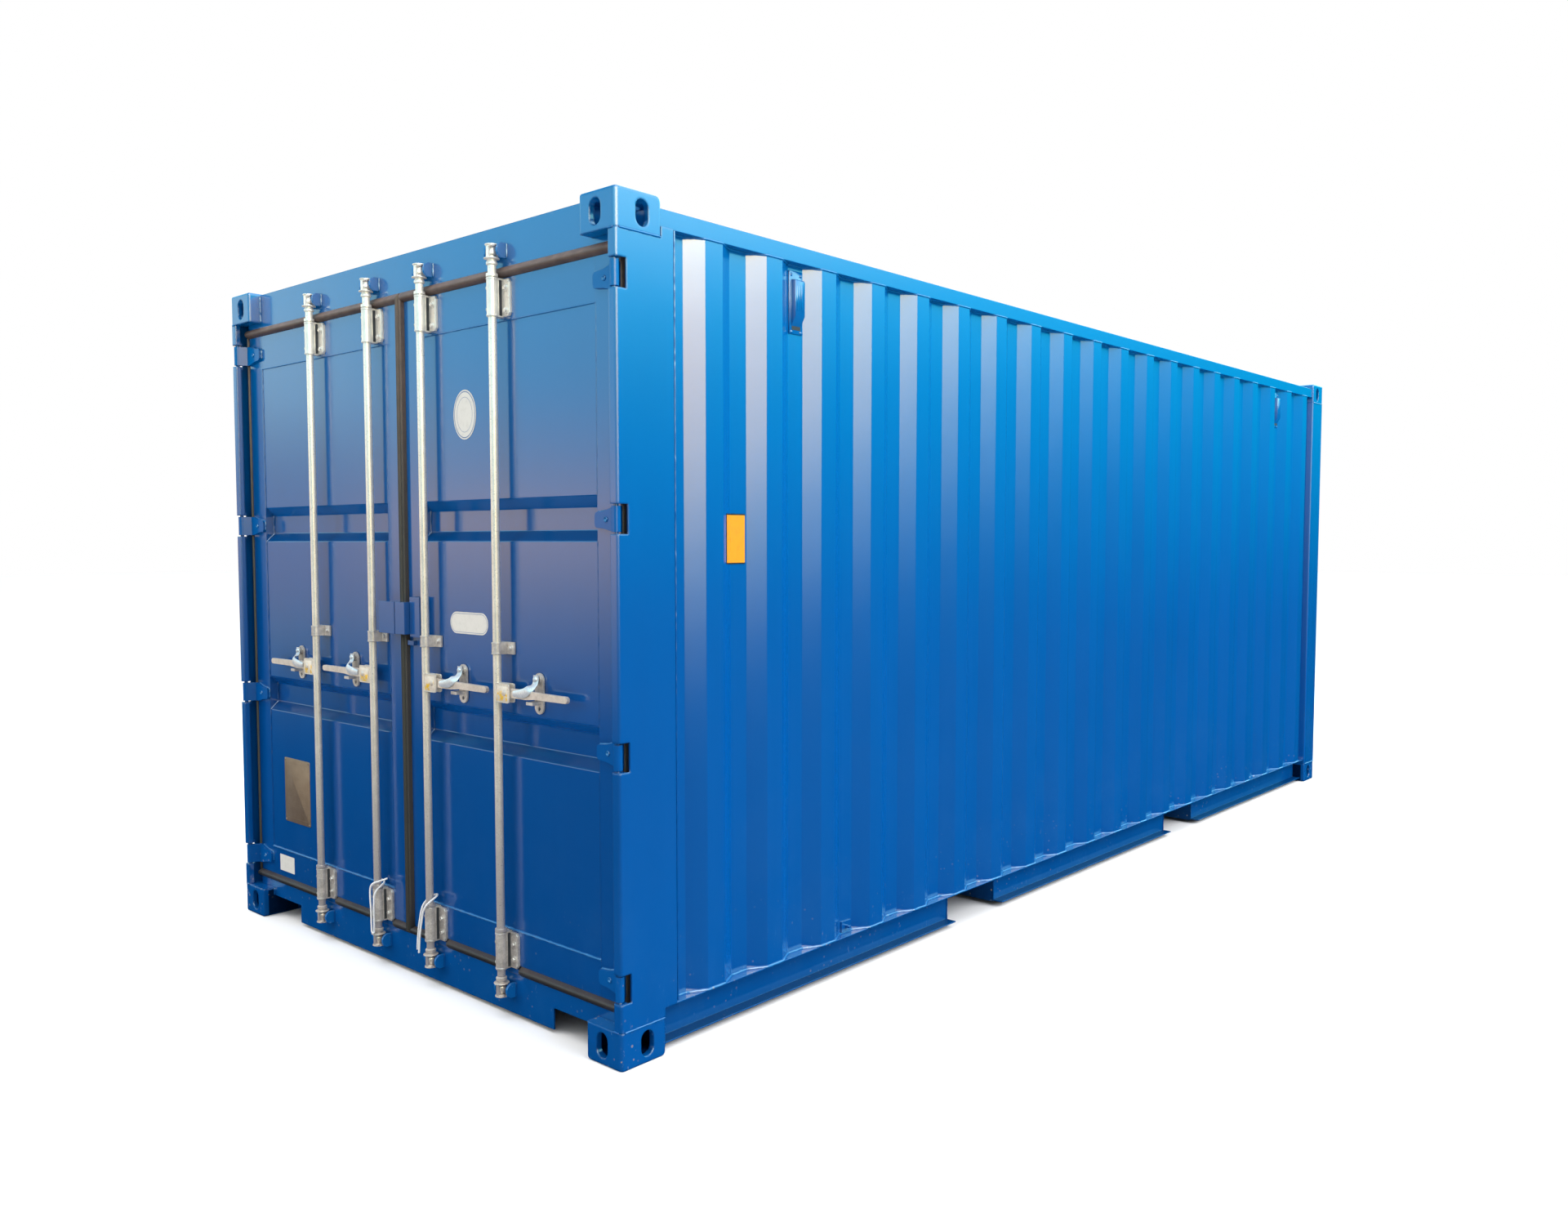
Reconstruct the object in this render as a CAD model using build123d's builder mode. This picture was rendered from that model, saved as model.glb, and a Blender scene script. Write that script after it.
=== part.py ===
from build123d import *
import math
import os

os.makedirs("parts", exist_ok=True)

# ---------------------------------------------------------------- driving dimensions (mm)
LENGTH = 6058.0            # outside the corner fittings
WIDTH = 2438.0
HEIGHT = 2591.0
HL = LENGTH / 2
HW = WIDTH / 2

FIT_L, FIT_W, FIT_H = 178.0, 162.0, 118.0   # corner fitting casting
FIT_R = 14.0                                # rounded outer edges
FIT_WALL, FIT_FACE = 20.0, 28.0             # side wall and lock face thickness
HOLE_W, HOLE_H = 51.0, 80.0                 # end and side apertures
LOCK_L, LOCK_W = 124.0, 63.5                # top and bottom apertures
HOLE_Y, HOLE_X = 102.5, 89.5                # aperture centres in from the end and the side
FIT_Y = HL - FIT_L                          # inner end of a fitting, |y|
FIT_X = HW - FIT_W                          # inner side of a fitting, |x|
FIT_TOP = HEIGHT - FIT_H                    # underside of a top fitting

POST_T = 6.0               # pressed corner post thickness
POST_LIP = 35.0            # width of the rear post's end face
POST_SIDE_Y = -2797.0      # edge of the rear post on the side
POST_R = 9.0

WALL_OUT = 1211.0          # outer plane of the corrugated side wall
WALL_IN = 1175.0           # inner plane (outside surface of the inner flats)
WALL_T = 2.0
WAVE = 281.1
WAVE_0 = -2724.0           # first slope starts here
SLOPE = 65.0
OUT_FLAT = 74.5
N_WAVE = 20

RAIL = 60.0                # top side rail, tube
RAIL_T = 3.0
RAIL_TOP, RAIL_BOT = 2559.0, 2505.0
SILL_TOP = 165.0
HEAD_BOT = 2452.0
END_FACE = 2979.0          # door header and sill front face, |y|
END_BACK = 2880.0

BRAIL_WEB = 1147.0         # bottom side rail: outer face of the web
BRAIL_T = 4.5
BRAIL_Z0, BRAIL_Z1 = 22.0, 148.0
BRAIL_LIP = 1193.0         # edge of the bottom flange

POCKET_Y = 1035.0          # fork pocket centre
POCKET_W = 360.0
FLOOR_T = 28.0
FLOOR_X = 1140.0
CROSS_TOP = SILL_TOP - FLOOR_T

# doors
PIN_X, PIN_Y, PIN_R = 1197.0, -3015.0, 7.0
LEAF_FACE = -2975.0
LEAF_T = 50.0
LEAF_IN, LEAF_OUT = 19.0, 1172.0
LEAF_Z0, LEAF_Z1 = 178.0, 2420.0
STILE, OUT_STILE = 94.0, 107.0
TUBE_T = 3.2
TOP_RAIL, BOT_RAIL = 135.0, 116.0
BANDS = ((875.0, 1014.0), (1577.0, 1714.0))   # pressed bands across each door
BAND_DEPTH, BAND_SLOPE = 34.0, 32.0
HINGE_Z = (248.0, 941.0, 1641.0, 2347.0)
KNUCKLE_H = 76.0
KNUCKLE_R = 13.5

# lock bars
BAR_X = (-596.0, -175.0, 175.0, 596.0)
BAR_Y = -3010.0
BAR_R = 13.5
SLEEVE_R, RING_R = 18.0, 19.0
SLEEVES = ((2294.0, 2418.0), (166.0, 290.0))
GUIDE = (1203.0, 1255.0)
CLAW_TOP, CLAW_LOW = 2518.0, 79.0     # outer finger of the upper and the lower cam
CLAW_GAP = 32.0
KEEPER_TOP, KEEPER_LOW = 2502.0, 96.0
HUB_Z = 1088.0
HUB_LEN = 78.0
PIVOT = 54.0               # handle pivot, out from the bar
HANDLE_LEN = 365.0
RETAIN_X = 181.0           # handle retainer, out from the bar

CORD_D = 7.0               # tie cords on the two middle bars


def block(x0, x1, y0, y1, z0, z1, mode=Mode.ADD):
    with Locations(((x0 + x1) / 2, (y0 + y1) / 2, (z0 + z1) / 2)):
        Box(abs(x1 - x0), abs(y1 - y0), abs(z1 - z0), mode=mode)


def post(x, y, z0, z1, r, mode=Mode.ADD):
    with Locations((x, y, (z0 + z1) / 2)):
        Cylinder(r, abs(z1 - z0), mode=mode)


def pin_y(x, z, y0, y1, r, mode=Mode.ADD):
    """Round bar along Y."""
    with Locations(Location((x, (y0 + y1) / 2, z), (90, 0, 0))):
        Cylinder(r, abs(y1 - y0), mode=mode)


def parallel(points, t):
    """Line beside an open polyline of (a, b) points, t to its left."""
    out = []
    n = len(points)
    for i in range(n):
        def unit(p, q):
            d = math.hypot(q[0] - p[0], q[1] - p[1])
            return ((q[0] - p[0]) / d, (q[1] - p[1]) / d)
        if i == 0:
            u = v = unit(points[0], points[1])
        elif i == n - 1:
            u = v = unit(points[-2], points[-1])
        else:
            u = unit(points[i - 1], points[i])
            v = unit(points[i], points[i + 1])
        nu, nv = (-u[1], u[0]), (-v[1], v[0])
        k = 1 + nu[0] * nv[0] + nu[1] * nv[1]
        out.append((points[i][0] + t * (nu[0] + nv[0]) / k,
                    points[i][1] + t * (nu[1] + nv[1]) / k))
    return out


def save(part, name):
    part.part.label = name
    export_step(part.part, f"parts/{name}.step")


# ---------------------------------------------------------------- corner fittings
def fitting(sx, sy, z0, lock_up):
    """One hollow casting with an end, a side and a lock aperture."""
    x_out, x_in = sx * HW, sx * FIT_X
    y_out, y_in = sy * HL, sy * FIT_Y
    z1 = z0 + FIT_H
    with BuildPart() as f:
        block(x_in, x_out, y_in, y_out, z0, z1)
        corner = f.edges().filter_by(Axis.Z).filter_by(
            lambda e: abs(abs(e.center().X) - HW) < 1 and abs(abs(e.center().Y) - HL) < 1)
        fillet(corner, FIT_R)
        far = z1 if lock_up else z0
        tip = f.edges().filter_by(Axis.X).filter_by(
            lambda e: abs(e.center().Z - far) < 0.5 and abs(abs(e.center().Y) - FIT_Y) < 0.5)
        fillet(tip, 18 if lock_up else 14)
        tip = f.edges().filter_by(Axis.Y).filter_by(
            lambda e: abs(e.center().Z - far) < 0.5 and abs(abs(e.center().X) - FIT_X) < 0.5)
        fillet(tip, 10 if lock_up else 14)
        rim = f.edges().filter_by(lambda e: abs(e.center().Z - (z1 if lock_up else z0)) < 0.5 and (
            abs(abs(e.center().X) - HW) < 6 or abs(abs(e.center().Y) - HL) < 6))
        fillet(rim, 8)
        zc0, zc1 = (z0 + 12, z1 - FIT_FACE) if lock_up else (z0 + FIT_FACE, z1 - 12)
        block(x_in + sx * 12, x_out - sx * FIT_WALL, y_in + sy * 12, y_out - sy * FIT_WALL,
              zc0, zc1, Mode.SUBTRACT)
        cx, cy = sx * (HW - HOLE_X), sy * (HL - HOLE_Y)
        cz = (z0 + z1) / 2 - (3 if lock_up else -3)
        with BuildSketch(Plane.XY.offset(z1 + 5 if lock_up else z0 - 5)):
            with Locations((cx, cy)):
                SlotOverall(LOCK_L, LOCK_W, rotation=90)
        extrude(amount=-(FIT_FACE + 15) if lock_up else (FIT_FACE + 15), mode=Mode.SUBTRACT)
        with BuildSketch(Plane(origin=(cx, sy * (HL + 5), cz), x_dir=(1, 0, 0), z_dir=(0, sy, 0))):
            SlotOverall(HOLE_H, HOLE_W, rotation=90)
        extrude(amount=-(FIT_WALL + 15), mode=Mode.SUBTRACT)
        with BuildSketch(Plane(origin=(sx * (HW + 5), cy, cz), x_dir=(0, 1, 0), z_dir=(sx, 0, 0))):
            SlotOverall(HOLE_H, HOLE_W, rotation=90)
        extrude(amount=-(FIT_WALL + 15), mode=Mode.SUBTRACT)
    return f.part


top_fits = [fitting(sx, sy, FIT_TOP, True) for sx in (-1, 1) for sy in (-1, 1)]
bot_fits = [fitting(sx, sy, 0.0, False) for sx in (-1, 1) for sy in (-1, 1)]

with BuildPart() as top_corner_fittings:
    add(top_fits)
save(top_corner_fittings, "top_corner_fittings")

with BuildPart() as bottom_corner_fittings:
    add(bot_fits)
save(bottom_corner_fittings, "bottom_corner_fittings")


# ---------------------------------------------------------------- rear corner posts
def rear_post(sx):
    """Pressed outer section with hinge notches, and an inner channel beside the opening."""
    z0, z1 = BRAIL_Z1, RAIL_BOT
    with BuildPart() as p:
        pts = [(HW - POST_LIP, -HL + 22), (HW - POST_LIP, -HL), (HW, -HL), (HW, POST_SIDE_Y),
               (WALL_IN - WALL_T - 2, POST_SIDE_Y)]
        inner = parallel(pts, POST_T)
        with BuildSketch(Plane.XY.offset(FIT_H)):
            with BuildLine():
                Polyline(*[(sx * a, b) for a, b in pts + inner[::-1]], close=True)
            make_face()
        extrude(amount=z1 - FIT_H)
        # inner channel beside the opening
        block(sx * 1170, sx * 1178, -2915, -2804, FIT_H, z1)
        block(sx * 1178, sx * (HW - POST_T), -2915, -2907, FIT_H, z1)
        block(sx * 1178, sx * (HW - POST_T), -2812, -2804, FIT_H, z1)
        outer = p.edges().filter_by(Axis.Z).filter_by(
            lambda e: abs(abs(e.center().X) - HW) < 0.5)
        fillet(outer, POST_R)
        front = p.edges().filter_by(Axis.Z).filter_by(
            lambda e: abs(abs(e.center().X) - (HW - POST_LIP)) < 0.5 and abs(e.center().Y + HL) < 0.5)
        fillet(front, 4)
        # the section stands between the fittings, and beyond them between the side rails
        block(sx * 1100, sx * 1300, -HL - 1, -FIT_Y, FIT_TOP, z1 + 1, Mode.SUBTRACT)
        block(sx * 1100, sx * 1300, -FIT_Y, POST_SIDE_Y + 1, FIT_H - 1, z0, Mode.SUBTRACT)
        for zc in HINGE_Z:
            block(sx * (HW - POST_LIP - 10), sx * (HW + 10), -HL - 10, -HL + 41,
                  zc - KNUCKLE_H / 2 - 6, zc + KNUCKLE_H / 2 + 6, Mode.SUBTRACT)
    return p


rear_post_left = rear_post(-1)
save(rear_post_left, "rear_post_left")
rear_post_right = rear_post(1)
save(rear_post_right, "rear_post_right")


# ---------------------------------------------------------------- hinge lugs and pins
def hinge_lugs(sx):
    with BuildPart() as p:
        for zc in HINGE_Z:
            for zz in (zc - KNUCKLE_H / 2 - 18, zc + KNUCKLE_H / 2 + 6):
                block(sx * (HW - POST_LIP + POST_T), sx * (HW - POST_T), -HL + POST_T, -2998, zz, zz + 12)
            post(sx * PIN_X, PIN_Y, zc - KNUCKLE_H / 2 - 18, zc + KNUCKLE_H / 2 + 18, PIN_R)
    return p


hinge_lugs_left = hinge_lugs(-1)
save(hinge_lugs_left, "hinge_lugs_left")
hinge_lugs_right = hinge_lugs(1)
save(hinge_lugs_right, "hinge_lugs_right")


# ---------------------------------------------------------------- front corner posts
def front_post(sx):
    with BuildPart() as p:
        pts = [(WALL_IN - WALL_T - 2, FIT_Y), (HW, FIT_Y), (HW, HL), (FIT_X, HL), (FIT_X, 2935)]
        inner = parallel(pts, POST_T)
        with BuildSketch(Plane.XY.offset(FIT_H)):
            with BuildLine():
                Polyline(*[(sx * a, b) for a, b in pts + inner[::-1]], close=True)
            make_face()
        extrude(amount=FIT_TOP - FIT_H)
        outer = p.edges().filter_by(Axis.Z).filter_by(
            lambda e: abs(abs(e.center().X) - HW) < 0.5)
        fillet(outer, POST_R)
    return p


front_post_left = front_post(-1)
save(front_post_left, "front_post_left")
front_post_right = front_post(1)
save(front_post_right, "front_post_right")

# ---------------------------------------------------------------- top and bottom side rails
with BuildPart() as top_side_rails:
    for sx in (-1, 1):
        block(sx * (WALL_OUT - RAIL), sx * WALL_OUT, -FIT_Y, FIT_Y, RAIL_BOT, RAIL_TOP)
        block(sx * (WALL_OUT - RAIL + RAIL_T), sx * (WALL_OUT - RAIL_T), -FIT_Y, FIT_Y,
              RAIL_BOT + RAIL_T, RAIL_TOP - RAIL_T, Mode.SUBTRACT)
save(top_side_rails, "top_side_rails")


def bottom_rail(sx):
    """Channel with its flanges outwards, cut away over both fork pockets."""
    with BuildPart() as p:
        block(sx * (BRAIL_WEB - BRAIL_T), sx * BRAIL_WEB, -FIT_Y, FIT_Y, BRAIL_Z0, BRAIL_Z1)
        block(sx * BRAIL_WEB, sx * WALL_OUT, -FIT_Y, FIT_Y, BRAIL_Z1 - BRAIL_T, BRAIL_Z1)
        block(sx * BRAIL_WEB, sx * BRAIL_LIP, -FIT_Y, FIT_Y, BRAIL_Z0, BRAIL_Z0 + BRAIL_T)
        for py in (-POCKET_Y, POCKET_Y):
            block(sx * 1100, sx * 1230, py - POCKET_W / 2, py + POCKET_W / 2,
                  BRAIL_Z0 - 5, CROSS_TOP - 4, Mode.SUBTRACT)
    return p


bottom_side_rail_left = bottom_rail(-1)
save(bottom_side_rail_left, "bottom_side_rail_left")
bottom_side_rail_right = bottom_rail(1)
save(bottom_side_rail_right, "bottom_side_rail_right")

# ---------------------------------------------------------------- door header and sill
with BuildPart() as door_header:
    block(-FIT_X, FIT_X, -END_FACE, -END_BACK, HEAD_BOT, 2585)
    block(-1170, 1170, -END_FACE, -END_BACK, HEAD_BOT, FIT_TOP)
    block(-FIT_X, FIT_X, -END_FACE + 4, -END_BACK - 4, HEAD_BOT + 25, 2581, Mode.SUBTRACT)
save(door_header, "door_header")

with BuildPart() as door_sill:
    block(-1170, 1170, -END_FACE, -END_BACK, FIT_H, SILL_TOP)
    block(-FIT_X, FIT_X, -END_FACE, -END_BACK, 14, FIT_H)
    block(-FIT_X, FIT_X, -END_FACE + 5, -END_BACK - 5, 10, SILL_TOP - 5, Mode.SUBTRACT)
    block(-FIT_X, FIT_X, -END_BACK - 6, -END_BACK + 1, 10, 60, Mode.SUBTRACT)
    for sx in (-1, 1):
        block(sx * 832, sx * (FIT_X + 1), -HL, -2870, 10, 85, Mode.SUBTRACT)
save(door_sill, "door_sill")

# ---------------------------------------------------------------- front end rails
with BuildPart() as front_end_rails:
    block(-FIT_X, FIT_X, 2945, 3021, RAIL_BOT, RAIL_TOP)
    block(-FIT_X, FIT_X, 2949, 3017, RAIL_BOT + 4, RAIL_TOP - 4, Mode.SUBTRACT)
    block(-FIT_X, FIT_X, 2945, 3021, 14, BRAIL_Z1)
    block(-FIT_X, FIT_X, 2940, 3016, 19, BRAIL_Z1 - 5, Mode.SUBTRACT)
save(front_end_rails, "front_end_rails")


# ---------------------------------------------------------------- corrugated walls
def wave_points():
    pts = [(WALL_IN, POST_SIDE_Y)]
    for k in range(N_WAVE):
        y = WAVE_0 + WAVE * k
        pts += [(WALL_IN, y), (WALL_OUT, y + SLOPE), (WALL_OUT, y + SLOPE + OUT_FLAT),
                (WALL_IN, y + 2 * SLOPE + OUT_FLAT + 2)]
    pts = [p for p in pts if p[1] < FIT_Y - 4]
    pts.append((WALL_IN, FIT_Y))
    return pts


def side_wall(sx):
    outer = wave_points()
    inner = parallel(outer, WALL_T)
    with BuildPart() as p:
        with BuildSketch(Plane.XY.offset(BRAIL_Z1)):
            with BuildLine():
                Polyline(*[(sx * a, b) for a, b in outer + inner[::-1]], close=True)
            make_face()
        extrude(amount=RAIL_BOT - BRAIL_Z1)
    return p


side_wall_left = side_wall(-1)
save(side_wall_left, "side_wall_left")
side_wall_right = side_wall(1)
save(side_wall_right, "side_wall_right")

with BuildPart() as front_wall:
    pitch, flat, slope, depth = 250.0, 107.0, 18.0, 45.0
    y_in = 2972.0
    pts = [(-FIT_X, y_in)]
    for k in range(8):
        x = -946.5 + pitch * k
        pts += [(x, y_in), (x + slope, y_in + depth), (x + slope + flat, y_in + depth),
                (x + 2 * slope + flat, y_in)]
    pts.append((FIT_X, y_in))
    back = parallel(pts, -2.0)
    with BuildSketch(Plane.XY.offset(BRAIL_Z1)):
        with BuildLine():
            Polyline(*(pts + back[::-1]), close=True)
        make_face()
    extrude(amount=RAIL_BOT - BRAIL_Z1)
save(front_wall, "front_wall")

# ---------------------------------------------------------------- roof
ROOF_Z = 2553.0
with BuildPart() as roof_panel:
    pts = [(-END_BACK, ROOF_Z)]
    for i in range(27):
        y = -2750 + 209.0 * i
        pts += [(y - 52, ROOF_Z), (y - 32, ROOF_Z - 20), (y + 32, ROOF_Z - 20), (y + 52, ROOF_Z)]
    pts.append((2945.0, ROOF_Z))
    back = parallel(pts, -2.0)
    with BuildSketch(Plane.YZ.offset(-1000)):
        with BuildLine():
            Polyline(*(pts + back[::-1]), close=True)
        make_face()
    extrude(amount=2000)
    for sx in (-1, 1):
        block(sx * 1000, sx * (WALL_OUT - RAIL), -FIT_Y, FIT_Y, ROOF_Z - 2, ROOF_Z)
        for sy, ye in ((-1, -END_BACK), (1, 2945.0)):
            block(sx * 1000, sx * FIT_X, sy * FIT_Y, ye, ROOF_Z - 2, ROOF_Z)
        for i in range(27):
            y = -2750 + 209.0 * i
            with BuildSketch(Plane.YZ.offset(sx * 1000)):
                with BuildLine():
                    Polyline((y - 52.4, ROOF_Z - 1), (y - 32.4, ROOF_Z - 21), (y + 32.4, ROOF_Z - 21),
                             (y + 52.4, ROOF_Z - 1), close=True)
                make_face()
            extrude(amount=sx * 2.0)
save(roof_panel, "roof_panel")

# ---------------------------------------------------------------- floor and understructure
with BuildPart() as floor_boards:
    block(-FLOOR_X, FLOOR_X, -END_BACK, 2935, CROSS_TOP, SILL_TOP)
    block(-1050, 1050, 2935, 2970, BRAIL_Z1, SILL_TOP)
save(floor_boards, "floor_boards")

CROSS_Y = [-2700, -2420, -2140, -1860, -1580, -1305, -560, -280, 0, 280, 560, 1305, 1580, 1860, 2140, 2420, 2700]
with BuildPart() as cross_members:
    for y in CROSS_Y:
        block(-(BRAIL_WEB - BRAIL_T), BRAIL_WEB - BRAIL_T, y, y + 4, 17, CROSS_TOP)
        block(-(BRAIL_WEB - BRAIL_T), BRAIL_WEB - BRAIL_T, y + 4, y + 45, CROSS_TOP - 4, CROSS_TOP)
        block(-(BRAIL_WEB - BRAIL_T), BRAIL_WEB - BRAIL_T, y + 4, y + 40, 17, 21)
save(cross_members, "cross_members")

with BuildPart() as fork_pockets:
    for py in (-POCKET_Y, POCKET_Y):
        for s in (-1, 1):
            block(-(BRAIL_WEB - BRAIL_T), BRAIL_WEB - BRAIL_T, py + s * POCKET_W / 2,
                  py + s * (POCKET_W / 2 + 5), 17, CROSS_TOP - 4)
        block(-(BRAIL_WEB - BRAIL_T), BRAIL_WEB - BRAIL_T, py - POCKET_W / 2 - 5, py + POCKET_W / 2 + 5,
              CROSS_TOP - 4, CROSS_TOP)
save(fork_pockets, "fork_pockets")


# ---------------------------------------------------------------- doors
def door(sx, name):
    a, b = LEAF_IN, LEAF_OUT
    y0, y1 = LEAF_FACE, LEAF_FACE + LEAF_T
    t = TUBE_T
    bars = [x for x in BAR_X if x * sx > 0]
    with BuildPart() as frame:
        for x0, x1 in ((a, a + STILE), (b - OUT_STILE, b)):
            block(sx * x0, sx * x1, y0, y1, LEAF_Z0, LEAF_Z1)
            block(sx * (x0 + t), sx * (x1 - t), y0 + t, y1 - t, LEAF_Z0 - 1, LEAF_Z1 + 1, Mode.SUBTRACT)
    save(frame, f"{name}_stiles")
    with BuildPart() as rails:
        for z0, z1 in ((LEAF_Z0, LEAF_Z0 + BOT_RAIL), (LEAF_Z1 - TOP_RAIL, LEAF_Z1)):
            block(sx * (a + STILE), sx * (b - OUT_STILE), y0, y1, z0, z1)
            block(sx * (a + STILE), sx * (b - OUT_STILE), y0 + t, y1 - t, z0 + t, z1 - t, Mode.SUBTRACT)
    save(rails, f"{name}_rails")

    z0, z1 = LEAF_Z0 + BOT_RAIL, LEAF_Z1 - TOP_RAIL
    yp = LEAF_FACE + 2
    pts = [(yp, z0)]
    for c0, c1 in BANDS:
        pts += [(yp, c0), (yp + BAND_DEPTH, c0 + BAND_SLOPE), (yp + BAND_DEPTH, c1 - BAND_SLOPE), (yp, c1)]
    pts.append((yp, z1))
    back = parallel(pts, -2.0)
    with BuildPart() as panel:
        with BuildSketch(Plane.YZ.offset(min(sx * (a + STILE), sx * (b - OUT_STILE)))):
            with BuildLine():
                Polyline(*(pts + back[::-1]), close=True)
            make_face()
        extrude(amount=b - a - STILE - OUT_STILE)
    save(panel, f"{name}_panel")

    # seal all round the leaf, notched behind the hinge blades
    with BuildPart() as gasket:
        block(sx * 6, sx * 1190, -2981, -2957, LEAF_Z0 - 11, LEAF_Z1 + 26)
        block(sx * a, sx * b, -2990, -2950, LEAF_Z0, LEAF_Z1, Mode.SUBTRACT)
        for zc in HINGE_Z:
            block(sx * 1160, sx * 1195, -2990, -2974, zc - KNUCKLE_H / 2 - 2, zc + KNUCKLE_H / 2 + 2, Mode.SUBTRACT)
        block(sx * 0, sx * (a + 1), -2990, -2974, 1200, 1390, Mode.SUBTRACT)
        for bx in bars:
            block(bx - 15, bx + 57, -2990, -2974, LEAF_Z0 - 25, LEAF_Z0 + 1, Mode.SUBTRACT)
    save(gasket, f"{name}_gasket")

    with BuildPart() as hinges:
        for zc in HINGE_Z:
            h = KNUCKLE_H / 2
            with BuildSketch(Plane.XZ.offset(-LEAF_FACE)):
                with BuildLine():
                    Polyline((sx * 1066, zc - 16), (sx * 1072, zc - 24), (sx * 1112, zc - 28), (sx * 1152, zc - h),
                             (sx * 1184, zc - h), (sx * 1184, zc + h), (sx * 1152, zc + h),
                             (sx * 1112, zc + 26), (sx * 1072, zc + 22), (sx * 1066, zc + 14), close=True)
                make_face()
            extrude(amount=12)
            with BuildSketch(Plane.XY.offset(zc - h)):
                with BuildLine():
                    Polyline((sx * 1168, LEAF_FACE - 10), (sx * 1187, -3023.5), (sx * 1197, -3021),
                             (sx * 1200, -3006), (sx * 1184, LEAF_FACE - 10), close=True)
                make_face()
            extrude(amount=2 * h)
            post(sx * PIN_X, PIN_Y, zc - h, zc + h, KNUCKLE_R)
            post(sx * PIN_X, PIN_Y, zc - h - 1, zc + h + 1, PIN_R + 0.15, Mode.SUBTRACT)
    save(hinges, f"{name}_hinge_blades")

    with BuildPart() as brackets:
        for bx in bars:
            for z0b, z1b in SLEEVES:
                post(bx, BAR_Y, z0b, z1b, SLEEVE_R)
                block(bx - 14, bx + 14, BAR_Y + 8, LEAF_FACE, z0b, z1b)
                with BuildSketch(Plane.XZ.offset(-LEAF_FACE)):
                    with BuildLine():
                        Polyline((bx + 10, z0b + 2), (bx + 48, z0b + 2), (bx + 55, z0b + 12), (bx + 55, z1b - 14),
                                 (bx + 48, z1b - 4), (bx + 10, z1b - 4), close=True)
                    make_face()
                extrude(amount=8)
                post(bx, BAR_Y, z0b - 1, z1b + 1, BAR_R + 0.2, Mode.SUBTRACT)
            z0b, z1b = GUIDE
            post(bx, BAR_Y, z0b, z1b, SLEEVE_R - 1)
            block(bx - 17, bx + 17, BAR_Y, LEAF_FACE, z0b, z1b)
            block(bx - 24, bx + 60, LEAF_FACE - 7, LEAF_FACE, z0b, z1b)
            post(bx, BAR_Y, z0b - 1, z1b + 1, BAR_R + 0.2, Mode.SUBTRACT)
    save(brackets, f"{name}_bar_brackets")

    with BuildPart() as retainers:
        for bx in bars:
            rx = bx + sx * RETAIN_X
            with BuildSketch(Plane.XZ.offset(-LEAF_FACE)):
                with Locations((rx, HUB_Z + 4)):
                    SlotOverall(132, 45, rotation=90)
                with Locations((rx, HUB_Z - 45)):
                    Circle(6.5, mode=Mode.SUBTRACT)
            extrude(amount=6)
            pin_y(rx, HUB_Z + 51, -2998, LEAF_FACE - 6, 15)
            pin_y(rx, HUB_Z + 51, -3004, -2998, 9)
            # lug under the handle, with a hole down through it
            block(rx - 24, rx + 10, -3014, LEAF_FACE - 6, HUB_Z - 31, HUB_Z - 21)
            post(rx - 2, -3002, HUB_Z - 35, HUB_Z - 15, 5.5, Mode.SUBTRACT)
    save(retainers, f"{name}_handle_retainers")


door(-1, "door_left")
door(1, "door_right")

# ---------------------------------------------------------------- lock box across both doors
with BuildPart() as lock_box_left:
    block(-107, -2.5, -3024, LEAF_FACE, 1247, 1361)
    block(-104, 0, -3021, LEAF_FACE + 1, 1240, 1358, Mode.SUBTRACT)
    block(-19, 0, LEAF_FACE - 6.5, LEAF_FACE + 1, 1240, 1362, Mode.SUBTRACT)
save(lock_box_left, "lock_box_left")

with BuildPart() as lock_box_right:
    block(2.5, 64, -3024, LEAF_FACE, 1247, 1361)
    block(0, 61, -3021, LEAF_FACE + 1, 1240, 1358, Mode.SUBTRACT)
    block(0, 19, LEAF_FACE - 6.5, LEAF_FACE + 1, 1240, 1362, Mode.SUBTRACT)
    block(66, 128, -3003, -2999, 1239, 1380)
    block(66, 70, -2999, LEAF_FACE, 1239, 1380)
    block(64, 66, -3000, LEAF_FACE, 1247, 1361)
    block(124, 128, -2999, LEAF_FACE, 1239, 1380)
    corner = lock_box_right.edges().filter_by(Axis.Y).filter_by(
        lambda e: abs(e.center().X - 66) < 0.5 and abs(e.center().Z - 1380) < 0.5)
    fillet(corner, 3.5)
    block(24, 62, -2987, LEAF_FACE, 1206, 1223)
save(lock_box_right, "lock_box_right")

# ---------------------------------------------------------------- cam keepers
with BuildPart() as cam_keepers:
    for bx in BAR_X:
        for zc in (KEEPER_LOW, KEEPER_TOP):
            for s in (-1, 1):
                x0 = bx + s * 28
                with BuildSketch(Plane.YZ.offset(x0)):
                    with BuildLine():
                        Polyline((-END_FACE, zc - 24), (-END_FACE, zc + 24), (-3000, zc + 24), (-3011, zc + 16),
                                 (-3015, zc + 6), (-3015, zc - 6), (-3011, zc - 16), (-3000, zc - 24), close=True)
                    make_face()
                extrude(amount=s * 9)
save(cam_keepers, "cam_keepers")

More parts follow.
